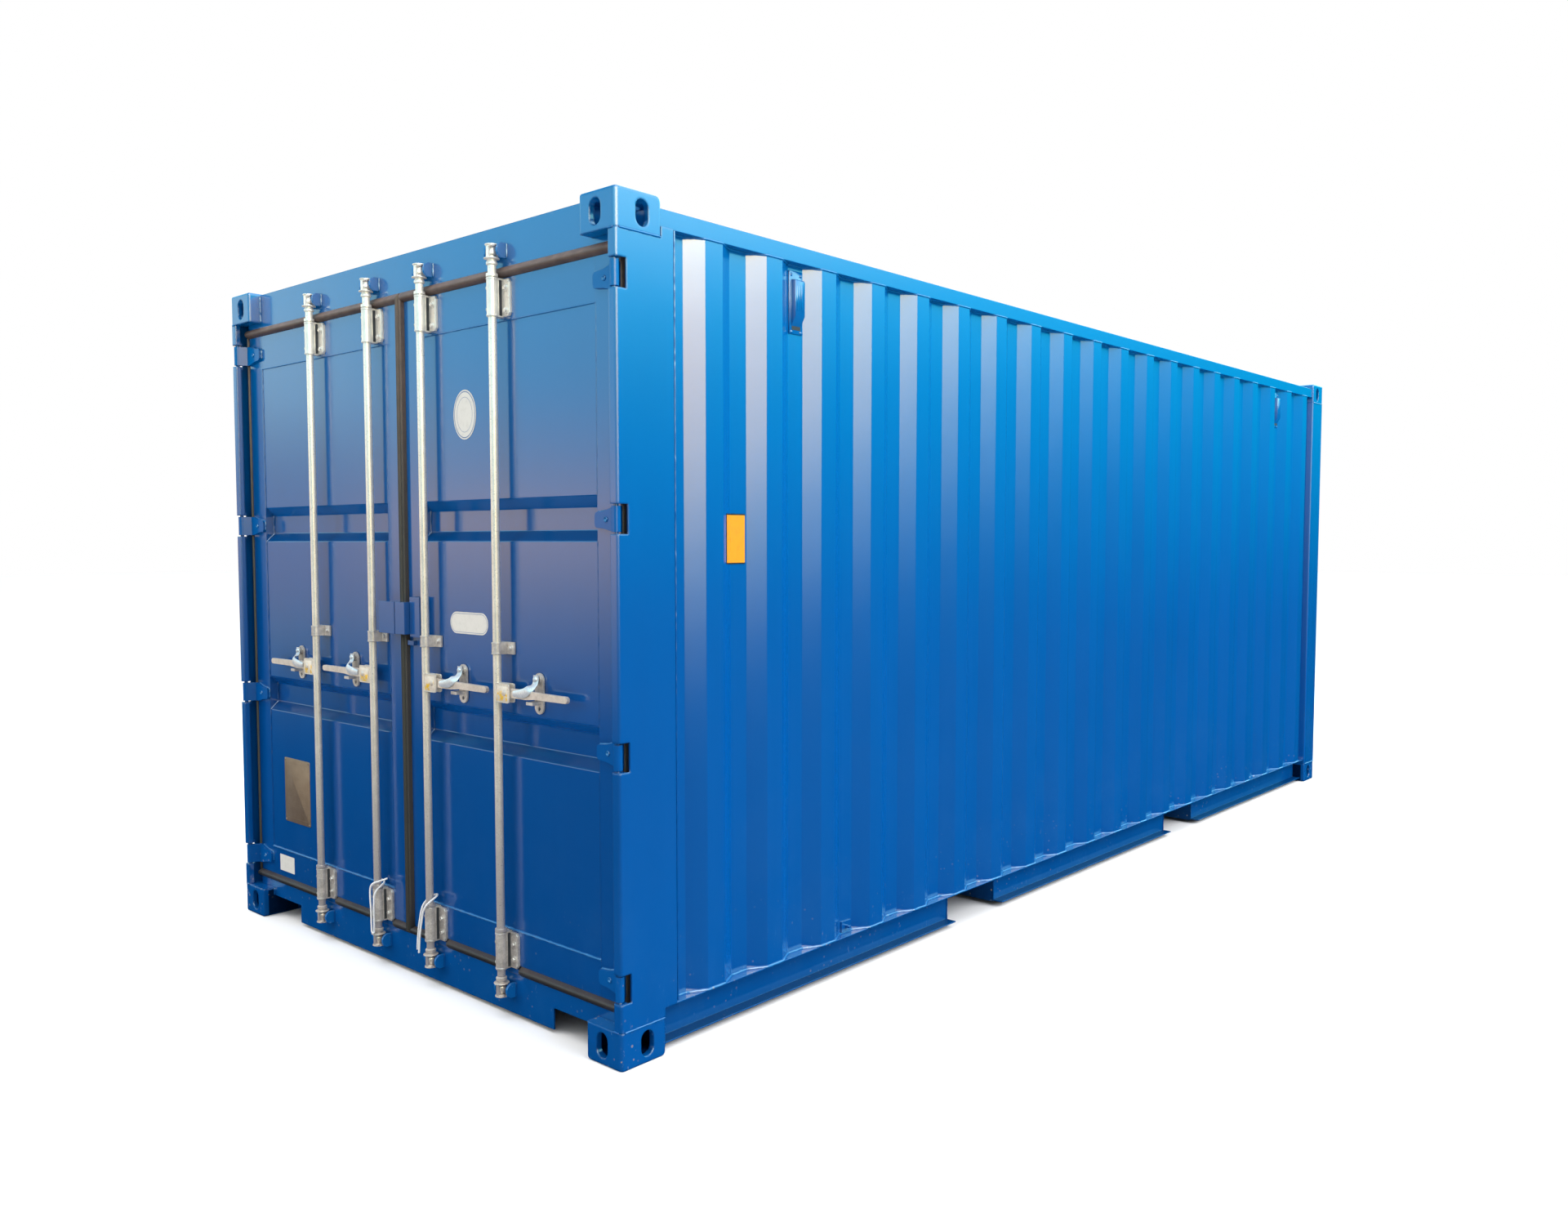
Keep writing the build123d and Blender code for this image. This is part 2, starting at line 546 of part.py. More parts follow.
# ---------------------------------------------------------------- lock bars and handles
for i, bx in enumerate(BAR_X):
    s = -1 if bx < 0 else 1
    with BuildPart() as bar:
        post(bx, BAR_Y, CLAW_LOW + CLAW_GAP + 4, CLAW_TOP - CLAW_GAP - 4, BAR_R)
        post(bx, BAR_Y, SLEEVES[0][1] + 2, SLEEVES[0][1] + 12, RING_R)
        post(bx, BAR_Y, SLEEVES[1][1] + 2, SLEEVES[1][1] + 12, RING_R)
        for zc, up in ((CLAW_TOP, 1), (CLAW_LOW, -1)):
            post(bx, BAR_Y, zc - up * (CLAW_GAP + 18), zc - up * (CLAW_GAP + 26), BAR_R + 3.5)
            for zf in (zc, zc - up * CLAW_GAP):
                block(bx - 7, bx + 7, -3019, -2989, zf - 5, zf + 5)
            block(bx - 7, bx + 7, -3027, -3017, zc - up * (CLAW_GAP + 6), zc + up * 5)
            post(bx, BAR_Y, zc - up * (CLAW_GAP + 18), zc - up * CLAW_GAP, 12)
        # forked hub that holds the handle
        y0, y1 = BAR_Y - 13, BAR_Y + 13
        for ya, yb in ((y0, y0 + 5), (y1 - 5, y1)):
            block(bx, bx + s * HUB_LEN, ya, yb, HUB_Z - 32, HUB_Z + 30)
        block(bx + s * 10, bx + s * (PIVOT + 2), y0, y1, HUB_Z + 24, HUB_Z + 30)
        edges = bar.edges().filter_by(Axis.Y).filter_by(
            lambda e: abs(e.center().X - (bx + s * HUB_LEN)) < 0.5)
        fillet(edges, 7)
        pin_y(bx + s * PIVOT, HUB_Z, y0 - 2, y1 + 2, 6)
    save(bar, f"lock_bar_{i + 1}")
    with BuildPart() as handle:
        with BuildSketch(Plane.XZ.offset(-(BAR_Y + 6))):
            with BuildLine():
                Polyline((bx + s * PIVOT, HUB_Z - 15), (bx + s * 160, HUB_Z - 15), (bx + s * 205, HUB_Z - 10.5),
                         (bx + s * (HANDLE_LEN - 8), HUB_Z - 10), (bx + s * HANDLE_LEN, HUB_Z - 4),
                         (bx + s * HANDLE_LEN, HUB_Z + 5), (bx + s * (HANDLE_LEN - 8), HUB_Z + 11),
                         (bx + s * 205, HUB_Z + 12), (bx + s * 160, HUB_Z + 15), (bx + s * PIVOT, HUB_Z + 15),
                         close=True)
            make_face()
            with Locations((bx + s * PIVOT, HUB_Z)):
                Circle(15)
                Circle(6.1, mode=Mode.SUBTRACT)
        extrude(amount=12)
    save(handle, f"handle_{i + 1}")

# ---------------------------------------------------------------- ventilators and hold-back hooks
with BuildPart() as ventilators:
    for sx in (-1, 1):
        for vy in (-2199.0, 2298.0):
            block(sx * WALL_IN, sx * (WALL_IN + 22), vy - 34, vy + 34, 2290, 2470)
    edges = ventilators.edges().filter_by(
        lambda e: abs(abs(e.center().X) - (WALL_IN + 22)) < 0.5)
    fillet(edges, 7)
save(ventilators, "ventilators")

with BuildPart() as holdback_hooks:
    for sx in (-1, 1):
        block(sx * WALL_IN, sx * (WALL_IN + 6), -1944, -1892, 152, 192)
        block(sx * (WALL_IN + 6), sx * (WALL_IN + 24), -1924, -1912, 168, 176)
save(holdback_hooks, "holdback_hooks")

# ---------------------------------------------------------------- tie cords
# offsets from the bar's axis, with the height above ground
CORD_2 = [(46, 14, 331), (36, 0, 326), (23, -14, 320), (6, -22.5, 313), (-9, -24.5, 298), (-14, -24, 272),
          (-10, -24.5, 240), (-7, -24, 200), (-6.5, -24.6, 165), (-6, -24.2, 143), (-5.8, -24, 126),
          (11.4, -24.4, 126.5), (11, -24.2, 142), (12.2, -23.6, 168), (11, -24.5, 203), (12.5, -24, 238),
          (13, -23, 268), (20, -16.5, 289), (26, -4, 302), (24, 11, 309), (11, 22, 312), (-6, 24.5, 315),
          (-20, 17, 318)]
CORD_3 = [(-46, -19, 118), (-44, -18, 143), (-40, -18.8, 176), (-33, -18, 213), (-23, -19, 245), (-11, -22, 272),
          (4, -24.8, 292), (17, -19.5, 308), (26, -6, 321), (27, 9, 329), (17, 21, 332), (1, 25, 329),
          (-14, 20, 322), (-24, 7, 312), (-27, -8, 297), (-32, -14.5, 276), (-38, -16, 249), (-47, -16.8, 214),
          (-54, -15.5, 180), (-58, -16.5, 151), (-59.5, -16, 127)]


def cord(bx, offsets, name):
    pts = [Vector(bx + x, BAR_Y + y, z) for x, y, z in offsets]
    radii = []
    total = 0.0
    for p, q, r in zip(pts[:-2], pts[1:-1], pts[2:]):
        u, v = q - p, r - q
        turn = math.radians(u.get_angle(v))
        radii.append(0.45 * min(u.length, v.length) / math.tan(turn / 2))
    with BuildPart() as c:
        with BuildLine() as route:
            line = FilletPolyline(*pts, radius=radii)
        with BuildSketch(Plane(origin=line @ 0, z_dir=line % 0)):
            Circle(CORD_D / 2)
        sweep(path=line)
    total = line.length
    print(name, "radii", [round(r, 1) for r in radii], "length", round(total, 1),
          "volume ratio", round(c.part.volume / (math.pi * CORD_D ** 2 / 4 * total), 4))
    save(c, name)


cord(BAR_X[1], CORD_2, "tie_cord_left")
cord(BAR_X[2], CORD_3, "tie_cord_right")
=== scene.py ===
import math
import random

import bmesh
import bpy
from mathutils import Matrix, Vector, noise


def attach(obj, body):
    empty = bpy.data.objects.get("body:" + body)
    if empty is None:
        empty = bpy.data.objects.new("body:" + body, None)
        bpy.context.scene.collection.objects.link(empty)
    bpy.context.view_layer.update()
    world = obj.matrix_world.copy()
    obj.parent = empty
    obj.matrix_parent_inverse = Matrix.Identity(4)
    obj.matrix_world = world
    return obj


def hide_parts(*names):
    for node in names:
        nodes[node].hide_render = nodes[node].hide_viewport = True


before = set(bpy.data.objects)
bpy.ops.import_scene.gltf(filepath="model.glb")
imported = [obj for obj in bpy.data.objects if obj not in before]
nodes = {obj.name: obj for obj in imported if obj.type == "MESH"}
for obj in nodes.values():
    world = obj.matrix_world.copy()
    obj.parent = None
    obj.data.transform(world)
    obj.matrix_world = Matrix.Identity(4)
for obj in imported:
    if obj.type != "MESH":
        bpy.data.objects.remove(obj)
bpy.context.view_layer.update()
scene = bpy.context.scene
scene.view_settings.view_transform = "Standard"
scene.view_settings.look = "None"
scene.view_settings.exposure = 0.0
scene.view_settings.gamma = 1.0

# ------------------------------------------------------------------ camera
AZ, EL = math.radians(41.52), math.radians(3.36)
BACK = Vector((math.sin(AZ) * math.cos(EL), -math.cos(AZ) * math.cos(EL), math.sin(EL)))
cam_data = bpy.data.cameras.new("camera")
cam_data.sensor_fit = "HORIZONTAL"
cam_data.sensor_width = 36.0
cam_data.lens = 36.0 * 1490.346 / 1920.0
cam_data.clip_end = 200.0
cam = bpy.data.objects.new("camera", cam_data)
scene.collection.objects.link(cam)
RIGHT = Vector((math.cos(AZ), math.sin(AZ), 0.0))
UP = BACK.cross(RIGHT)
cam.matrix_world = Matrix.Translation((3.914, -5.348, 1.574)) @ Matrix((
    (RIGHT.x, UP.x, BACK.x, 0), (RIGHT.y, UP.y, BACK.y, 0), (RIGHT.z, UP.z, BACK.z, 0), (0, 0, 0, 1)))
scene.camera = cam

# ------------------------------------------------------------------ main dimensions (m)
HW, HL, HEIGHT = 1.219, 3.029, 2.591
FACE = -2.975                       # door leaf front
PANEL_Y = -2.973                    # door sheet front
LEAF_IN, LEAF_OUT, LEAF_Z0, LEAF_Z1 = 0.019, 1.172, 0.178, 2.420
STILE, OUT_STILE, TOP_RAIL, BOT_RAIL = 0.094, 0.107, 0.135, 0.116
BANDS = ((0.875, 1.014), (1.577, 1.714))
BAR_X = (-0.596, -0.175, 0.175, 0.596)
BAR_Y = -3.010
HINGE_Z = (0.248, 0.941, 1.641, 2.347)
KNUCKLE = 0.038                     # half height of a hinge knuckle
SLEEVES = ((2.294, 2.418), (0.166, 0.290))
HUB_Z = 1.088
WALL_OUT, WALL_IN, WALL_Z0, WALL_Z1 = 1.211, 1.175, 0.148, 2.505


# ------------------------------------------------------------------ shader helpers
class Mat:
    def __init__(self, name):
        self.m = bpy.data.materials.new(name)
        self.m.use_nodes = True
        self.t = self.m.node_tree
        self.t.nodes.clear()
        self.out = self.t.nodes.new("ShaderNodeOutputMaterial")
        self.b = self.t.nodes.new("ShaderNodeBsdfPrincipled")
        self.t.links.new(self.b.outputs[0], self.out.inputs[0])
        self.coord = self.t.nodes.new("ShaderNodeTexCoord")
        self.pos = self.coord.outputs["Object"]

    def put(self, socket, value):
        if isinstance(value, bpy.types.NodeSocket):
            self.t.links.new(value, socket)
        else:
            socket.default_value = value

    def set(self, name, value):
        self.put(self.b.inputs[name], value)

    def scale(self, x, y, z):
        n = self.t.nodes.new("ShaderNodeMapping")
        self.put(n.inputs["Vector"], self.pos)
        n.inputs["Scale"].default_value = (x, y, z)
        return n.outputs[0]

    def noise(self, scale, detail=3.0, rough=0.5, vec=None, dist=0.0):
        n = self.t.nodes.new("ShaderNodeTexNoise")
        self.put(n.inputs["Vector"], vec or self.pos)
        n.inputs["Scale"].default_value = scale
        n.inputs["Detail"].default_value = detail
        n.inputs["Roughness"].default_value = rough
        n.inputs["Distortion"].default_value = dist
        return n.outputs[0]

    def voronoi(self, scale, vec=None, feature="F1", out="Distance"):
        n = self.t.nodes.new("ShaderNodeTexVoronoi")
        n.feature = feature
        self.put(n.inputs["Vector"], vec or self.pos)
        n.inputs["Scale"].default_value = scale
        return n.outputs[out]

    def ramp(self, fac, *stops):
        n = self.t.nodes.new("ShaderNodeValToRGB")
        self.put(n.inputs[0], fac)
        el = n.color_ramp.elements
        while len(el) < len(stops):
            el.new(0.5)
        for e, (p, c) in zip(el, stops):
            e.position = p
            e.color = (c, c, c, 1) if isinstance(c, (int, float)) else (*c, 1)
        return n.outputs[0]

    def mix(self, fac, a, b):
        n = self.t.nodes.new("ShaderNodeMix")
        n.data_type = "RGBA"
        self.put(n.inputs[0], fac)
        self.put(n.inputs[6], a if isinstance(a, bpy.types.NodeSocket) else (*a, 1))
        self.put(n.inputs[7], b if isinstance(b, bpy.types.NodeSocket) else (*b, 1))
        return n.outputs[2]

    def math(self, op, a, b=0.0, c=None):
        n = self.t.nodes.new("ShaderNodeMath")
        n.operation = op
        self.put(n.inputs[0], a)
        self.put(n.inputs[1], b)
        if c is not None:
            self.put(n.inputs[2], c)
        return n.outputs[0]

    def band(self, v, lo0, lo1, hi1, hi0):
        """1 between lo1 and hi1, fading to 0 at lo0 and hi0."""
        return self.math("MULTIPLY", self.fade(v, lo0, lo1), self.fade(v, hi0, hi1))

    def fade(self, v, a, b):
        n = self.t.nodes.new("ShaderNodeMapRange")
        n.interpolation_type = "SMOOTHSTEP"
        self.put(n.inputs[0], v)
        n.inputs[1].default_value = min(a, b)
        n.inputs[2].default_value = max(a, b)
        n.inputs[3].default_value = 0.0 if a < b else 1.0
        n.inputs[4].default_value = 1.0 if a < b else 0.0
        return n.outputs[0]

    def xyz(self):
        n = self.t.nodes.new("ShaderNodeSeparateXYZ")
        self.put(n.inputs[0], self.pos)
        return n.outputs[0], n.outputs[1], n.outputs[2]

    def normal_z(self):
        g = self.t.nodes.new("ShaderNodeNewGeometry")
        n = self.t.nodes.new("ShaderNodeSeparateXYZ")
        self.put(n.inputs[0], g.outputs["Normal"])
        return n.outputs[2]

    def bump(self, height, strength, dist, normal=None):
        n = self.t.nodes.new("ShaderNodeBump")
        n.inputs["Strength"].default_value = strength
        n.inputs["Distance"].default_value = dist
        self.put(n.inputs["Height"], height)
        if normal is not None:
            self.put(n.inputs["Normal"], normal)
        return n.outputs[0]

    def edge(self, radius):
        n = self.t.nodes.new("ShaderNodeBevel")
        n.samples = 4
        n.inputs["Radius"].default_value = radius
        return n.outputs[0]


def paint(name, base=(0.0002, 0.072, 0.276), dark=(0.0002, 0.065, 0.254), gloss=0.34, coat=1.0,
          wave=0.0010, wear=0.25, round_edge=0.003, ledge_shade=0.0, ledge_shade_top=None, hollow=False):
    m = Mat(name)
    x, y, z = m.xyz()
    big = m.noise(0.9, 3, 0.5)
    fine = m.noise(14, 4, 0.6)
    streak = m.noise(1.0, 4, 0.65, m.scale(9, 9, 0.7))
    tone = m.math("ADD", m.math("MULTIPLY", big, 0.6), m.math("MULTIPLY", streak, 0.4))
    col = m.mix(m.ramp(tone, (0.35, 0.0), (0.68, 1.0)), dark, base)
    # painted light: upper parts lighter with height, for the brighter sky sheen up there; thin dust film low down and
    # in streaks
    col = m.mix(m.math("MULTIPLY", m.fade(z, 0.9, 2.7), 0.55), col, (0.0005, 0.135, 0.37))
    dust = m.math("MULTIPLY", m.ramp(m.noise(3.2, 6, 0.7), (0.48, 0.0), (0.75, 1.0)),
                  m.math("ADD", 0.012, m.math("MULTIPLY", m.fade(z, 0.9, 0.02), 0.06)))
    col = m.mix(dust, col, (0.07, 0.19, 0.32))
    # small chips and rubs: thickest by the ground and the sill
    chips = m.ramp(m.math("ADD", m.voronoi(34), m.math("MULTIPLY", fine, -0.25)), (0.0, 1.0), (0.035, 0.0))
    where = m.math("MULTIPLY", m.fade(z, 0.5, 0.05), m.ramp(m.noise(5, 3), (0.47, 0.0), (0.6, 1.0)))
    chip = m.math("MULTIPLY", chips, m.math("MULTIPLY", where, wear * 1.4))
    col = m.mix(chip, col, (0.22, 0.22, 0.22))
    rub = m.math("MULTIPLY", m.ramp(m.noise(60, 5, 0.75, m.scale(1, 1, 0.35)), (0.63, 0.0), (0.72, 1.0)),
                 m.math("MULTIPLY", m.fade(z, 0.35, 0.04), wear))
    col = m.mix(rub, col, (0.22, 0.36, 0.50))
    if hollow:
        # the inside of the lower corner castings gets no light
        deep = m.math("MINIMUM", m.math("SUBTRACT", HW, m.math("ABSOLUTE", x)), m.math("SUBTRACT", HL, m.math("ABSOLUTE", y)))
        inner = m.math("MULTIPLY", m.fade(deep, 0.018, 0.024), m.fade(deep, 0.152, 0.148))
        inner = m.math("MULTIPLY", inner, m.math("MULTIPLY", m.fade(z, 0.004, 0.008), m.fade(z, 0.112, 0.108)))
        col = m.mix(m.math("MULTIPLY", inner, 0.93), col, (0.0006, 0.004, 0.016))
        m.put(m.b.inputs["Coat Weight"], m.math("SUBTRACT", 1.0, inner))
    # painted shade, partly grime on ledges: faces turned upwards are darker and lose their coat
    if ledge_shade:
        flat = m.math("MULTIPLY", m.fade(m.normal_z(), 0.15, 0.55), ledge_shade)
        if ledge_shade_top:
            flat = m.math("MULTIPLY", flat, m.fade(z, ledge_shade_top, ledge_shade_top - 0.02))
        col = m.mix(flat, col, (0.0005, 0.028, 0.105))
        m.put(m.b.inputs["Coat Weight"], m.math("SUBTRACT", 1.0, flat))
    m.set("Base Color", col)
    m.set("Roughness", m.math("ADD", gloss, m.math("MULTIPLY", m.math("SUBTRACT", fine, 0.5), 0.10)))
    if not (ledge_shade or hollow):
        m.b.inputs["Coat Weight"].default_value = coat
    m.b.inputs["Coat Roughness"].default_value = 0.13
    m.b.inputs["Specular IOR Level"].default_value = 0.0
    m.b.inputs["Coat IOR"].default_value = 1.9
    n = m.edge(round_edge) if round_edge else None
    n = m.bump(m.noise(2.6, 2, 0.5), 0.6, wave, n)
    n = m.bump(m.noise(420, 2, 0.5), 0.12, 0.0004, n)
    n = m.bump(chip, 0.3, -0.0006, n)
    m.put(m.b.inputs["Normal"], n)
    m.put(m.b.inputs["Coat Normal"], n)
    return m.m


def zinc(name, base=(0.62, 0.60, 0.55), low=(0.42, 0.40, 0.36), rough=0.36, metal=0.55, stain=0.4, foot=0.0,
         marks=False):
    m = Mat(name)
    x, y, z = m.xyz()
    spangle = m.voronoi(240, out="Color")
    grey = m.t.nodes.new("ShaderNodeRGBToBW")
    m.put(grey.inputs[0], spangle)
    blotch = m.noise(26, 5, 0.65)
    fine = m.noise(190, 4, 0.7)
    col = m.mix(m.ramp(blotch, (0.35, 0.0), (0.7, 1.0)), low, base)
    col = m.mix(m.math("MULTIPLY", grey.outputs[0], 0.22), col, (0.80, 0.79, 0.76))
    # dull speckled bloom that grows towards the lower end
    speck = m.math("MULTIPLY", m.ramp(fine, (0.45, 0.0), (0.66, 1.0)), m.fade(z, 1.9, 0.2))
    col = m.mix(m.math("MULTIPLY", speck, 0.45), col, (0.30, 0.27, 0.23))
    rust = m.math("MULTIPLY", m.ramp(m.noise(48, 4, 0.7), (0.64, 0.0), (0.72, 1.0)), stain)
    col = m.mix(rust, col, (0.36, 0.21, 0.09))
    # painted light: zinc parts lighter towards the top
    col = m.mix(m.math("MULTIPLY", m.fade(z, 1.5, 2.3), 0.6), col, (0.92, 0.88, 0.80))
    # painted shade: darker and a little violet towards the foot
    if foot:
        col = m.mix(m.math("MULTIPLY", m.fade(z, 1.05, 0.30), foot), col, (0.34, 0.305, 0.33))
    if marks:
        spots = m.math("MULTIPLY", m.ramp(m.noise(150, 3, 0.6), (0.42, 0.0), (0.52, 1.0)), m.fade(z, HUB_Z + 0.012, HUB_Z - 0.004))
        side_ = m.ramp(m.noise(34, 2, 0.5), (0.42, 0.0), (0.50, 1.0))
        col = m.mix(m.math("MULTIPLY", spots, side_), col, (0.82, 0.50, 0.02))
    m.set("Base Color", col)
    m.b.inputs["Metallic"].default_value = metal
    m.set("Roughness", m.math("ADD", rough, m.math("MULTIPLY", m.math("SUBTRACT", fine, 0.5), 0.25)))
    n = m.edge(0.0012)
    n = m.bump(fine, 0.35, 0.0006, n)
    n = m.bump(blotch, 0.25, 0.0010, n)
    m.put(m.b.inputs["Normal"], n)
    return m.m


def rubber(name):
    m = Mat(name)
    # painted sheen: a brown tone only on faces turned upwards and higher up, where more light falls on the seal
    up = m.fade(m.normal_z(), -0.1, 0.75)
    x, y, z = m.xyz()
    up = m.math("MULTIPLY", up, m.math("ADD", 0.16, m.math("MULTIPLY", m.fade(z, 0.7, 2.3), 0.84)))
    up = m.math("MINIMUM", m.math("ADD", up, m.math("MULTIPLY", m.fade(z, 1.5, 2.35), 0.55)), 1.0)
    painted_sheen = m.math("MULTIPLY", m.ramp(m.noise(30, 5, 0.7), (0.3, 0.45), (0.7, 1.0)), up)
    col = m.mix(m.noise(9, 3), (0.016, 0.014, 0.015), (0.032, 0.026, 0.026))
    col = m.mix(m.math("MULTIPLY", painted_sheen, 0.9), col, (0.215, 0.138, 0.112))
    m.set("Base Color", col)
    m.set("Roughness", m.math("ADD", 0.42, m.math("MULTIPLY", m.noise(60, 3), 0.2)))
    n = m.bump(m.noise(160, 3, 0.6), 0.25, 0.0006)
    m.put(m.b.inputs["Normal"], n)
    return m.m


def rope_mat(name):
    m = Mat(name)
    fibre = m.noise(900, 3, 0.7, m.scale(1, 1, 0.5))
    col = m.mix(fibre, (0.60, 0.61, 0.63), (0.90, 0.90, 0.88))
    col = m.mix(m.math("MULTIPLY", m.ramp(m.noise(60, 4), (0.55, 0.0), (0.7, 1.0)), 0.35), col, (0.45, 0.43, 0.38))
    m.set("Base Color", col)
    m.b.inputs["Roughness"].default_value = 0.72
    m.b.inputs["Sheen Weight"].default_value = 0.35
    m.b.inputs["Sheen Roughness"].default_value = 0.4
    m.put(m.b.inputs["Normal"], m.bump(fibre, 0.6, 0.0005))
    return m.m


def plywood(name):
    m = Mat(name)
    x, y, z = m.xyz()
    grain = m.noise(1.0, 6, 0.65, m.scale(70, 2.2, 40), 0.8)
    broad = m.noise(1.0, 3, 0.5, m.scale(8, 0.6, 8), 0.5)
    col = m.mix(m.ramp(grain, (0.3, 0.0), (0.7, 1.0)), (0.18, 0.085, 0.038), (0.36, 0.19, 0.09))
    col = m.mix(m.math("MULTIPLY", broad, 0.6), col, (0.27, 0.135, 0.065))
    seam_y = m.ramp(m.math("ABSOLUTE", m.math("SUBTRACT", m.math("FRACT", m.math("MULTIPLY", y, 1 / 2.0)), 0.5)),
                    (0.0, 1.0), (0.0028, 0.0))
    seam_x = m.ramp(m.math("ABSOLUTE", x), (0.0, 1.0), (0.0035, 0.0))
    seam = m.math("MAXIMUM", seam_y, seam_x)
    col = m.mix(seam, col, (0.02, 0.014, 0.01))
    scuff = m.ramp(m.noise(5, 6, 0.7, m.scale(1, 0.3, 1)), (0.56, 0.0), (0.7, 1.0))
    col = m.mix(m.math("MULTIPLY", scuff, 0.35), col, (0.30, 0.26, 0.21))
    m.set("Base Color", col)
    m.set("Roughness", m.math("ADD", 0.38, m.math("MULTIPLY", scuff, 0.3)))
    n = m.bump(grain, 0.25, 0.0008)
    n = m.bump(seam, 0.8, -0.003, n)
    m.put(m.b.inputs["Normal"], n)
    return m.m


def plate_mat(name, base, second, rough=0.42, metal=0.7):
    m = Mat(name)
    brush = m.noise(1.0, 5, 0.7, m.scale(18, 18, 420))
    col = m.mix(m.ramp(m.noise(22, 4, 0.6), (0.35, 0.0), (0.7, 1.0)), second, base)
    col = m.mix(m.math("MULTIPLY", brush, 0.25), col, (0.42, 0.36, 0.30))
    m.set("Base Color", col)
    m.b.inputs["Metallic"].default_value = metal
    m.b.inputs["Roughness"].default_value = rough
    m.put(m.b.inputs["Normal"], m.bump(brush, 0.2, 0.0004))
    return m.m


def film_mat(name, base, soiled, rough=0.38):
    """Self-adhesive foil: slightly soiled, faint bubbles."""
    m = Mat(name)
    dirt = m.ramp(m.noise(40, 6, 0.72), (0.5, 0.0), (0.75, 1.0))
    m.set("Base Color", m.mix(m.math("MULTIPLY", dirt, 0.5), base, soiled))
    m.set("Roughness", m.math("ADD", rough, m.math("MULTIPLY", dirt, 0.2)))
    m.put(m.b.inputs["Normal"], m.bump(m.noise(90, 3), 0.2, 0.0005))
    return m.m


def dark_mat(name, base=(0.012, 0.014, 0.02)):
    m = Mat(name)
    m.set("Base Color", m.mix(m.noise(40, 4), base, tuple(1.8 * c for c in base)))
    m.b.inputs["Roughness"].default_value = 0.6
    m.put(m.b.inputs["Normal"], m.bump(m.noise(120, 3), 0.3, 0.0006))
    return m.m


BLUE = paint("blue_paint")
BLUE_WALL = paint("blue_wall_paint", wave=0.0012, round_edge=0.0)
# painted shade: the door paint is darker than the same paint on frame and walls, as the door end gets less light
BLUE_DOOR = paint("blue_door_paint", base=(0.0003, 0.060, 0.240), dark=(0.0002, 0.053, 0.218), wave=0.0006,
                  round_edge=0.0016)
BLUE_SHEET = paint("blue_door_sheet", base=(0.0003, 0.060, 0.240), dark=(0.0002, 0.053, 0.218), wave=0.0009,
                   round_edge=0.0, ledge_shade=0.6)
BLUE_CAST = paint("blue_casting", wave=0.0004, wear=1.0, gloss=0.34, round_edge=0.008, hollow=True)
BLUE_POST = paint("blue_post_paint", base=(0.0001, 0.069, 0.266), dark=(0.0001, 0.062, 0.244), round_edge=0.008)
BLUE_SILL = paint("blue_sill_paint", wave=0.0006, wear=0.22, round_edge=0.0025, ledge_shade=0.8, ledge_shade_top=0.12)
# lighter bead paint for welds and sealant; on the hinge blades it is also a painted highlight along their top edges
BLUE_WELD = paint("blue_sealant_and_highlight", base=(0.010, 0.125, 0.36), dark=(0.006, 0.100, 0.31), wear=0.5, gloss=0.3)
BLUE_HINGE = paint("blue_hinge_paint", base=(0.001, 0.074, 0.27), dark=(0.0005, 0.060, 0.235), wave=0.0005,
                   wear=0.6, round_edge=0.0012, gloss=0.42, coat=0.38)
# painted light: the keeper paint is lighter than the frame paint, for the light on the keeper ears
BLUE_KEEPER = paint("blue_keeper_paint", base=(0.004, 0.130, 0.40), dark=(0.002, 0.100, 0.34), wave=0.0005, wear=0.8,
                    round_edge=0.0022, coat=0.7)
BLUE_UNDER = paint("blue_underside", base=(0.003, 0.055, 0.20), dark=(0.003, 0.035, 0.13), wear=0.9, gloss=0.5, coat=0.1)
ZINC = zinc("zinc", base=(0.68, 0.62, 0.58), low=(0.34, 0.30, 0.285), rough=0.34, metal=0.32, stain=0.3)
ZINC_BAR = zinc("zinc_bar", base=(0.78, 0.71, 0.62), low=(0.62, 0.56, 0.48), rough=0.30, metal=0.32, stain=0.2,
                foot=0.75)
ZINC_HANDLE = zinc("zinc_handle", base=(0.74, 0.64, 0.56), low=(0.50, 0.42, 0.37), rough=0.38, metal=0.32, stain=0.3)
ZINC_CATCH = zinc("zinc_catch", base=(0.70, 0.72, 0.76), low=(0.50, 0.54, 0.60), rough=0.30, metal=0.35, stain=0.05)
HUB_YELLOW = zinc("passivated_hub", base=(0.78, 0.69, 0.60), low=(0.62, 0.54, 0.46), rough=0.36, metal=0.3, stain=0.3,
                  marks=True)
RUBBER = rubber("seal_rubber")
ROPE = rope_mat("white_cord")
PLY = plywood("plywood")
BRONZE = plate_mat("bronze_plate", (0.34, 0.235, 0.17), (0.26, 0.17, 0.12))
WHITE = film_mat("white_foil", (0.60, 0.585, 0.545), (0.42, 0.40, 0.37))
WHITE_INK = film_mat("pale_blue_ring", (0.10, 0.16, 0.30), (0.16, 0.2, 0.3))
YELLOW = film_mat("yellow_foil", (0.66, 0.25, 0.003), (0.48, 0.18, 0.01))
BLACK = film_mat("black_foil", (0.012, 0.011, 0.010), (0.05, 0.045, 0.04))
# near-black for painted shade in openings and gaps
DARK = dark_mat("dark_recess")


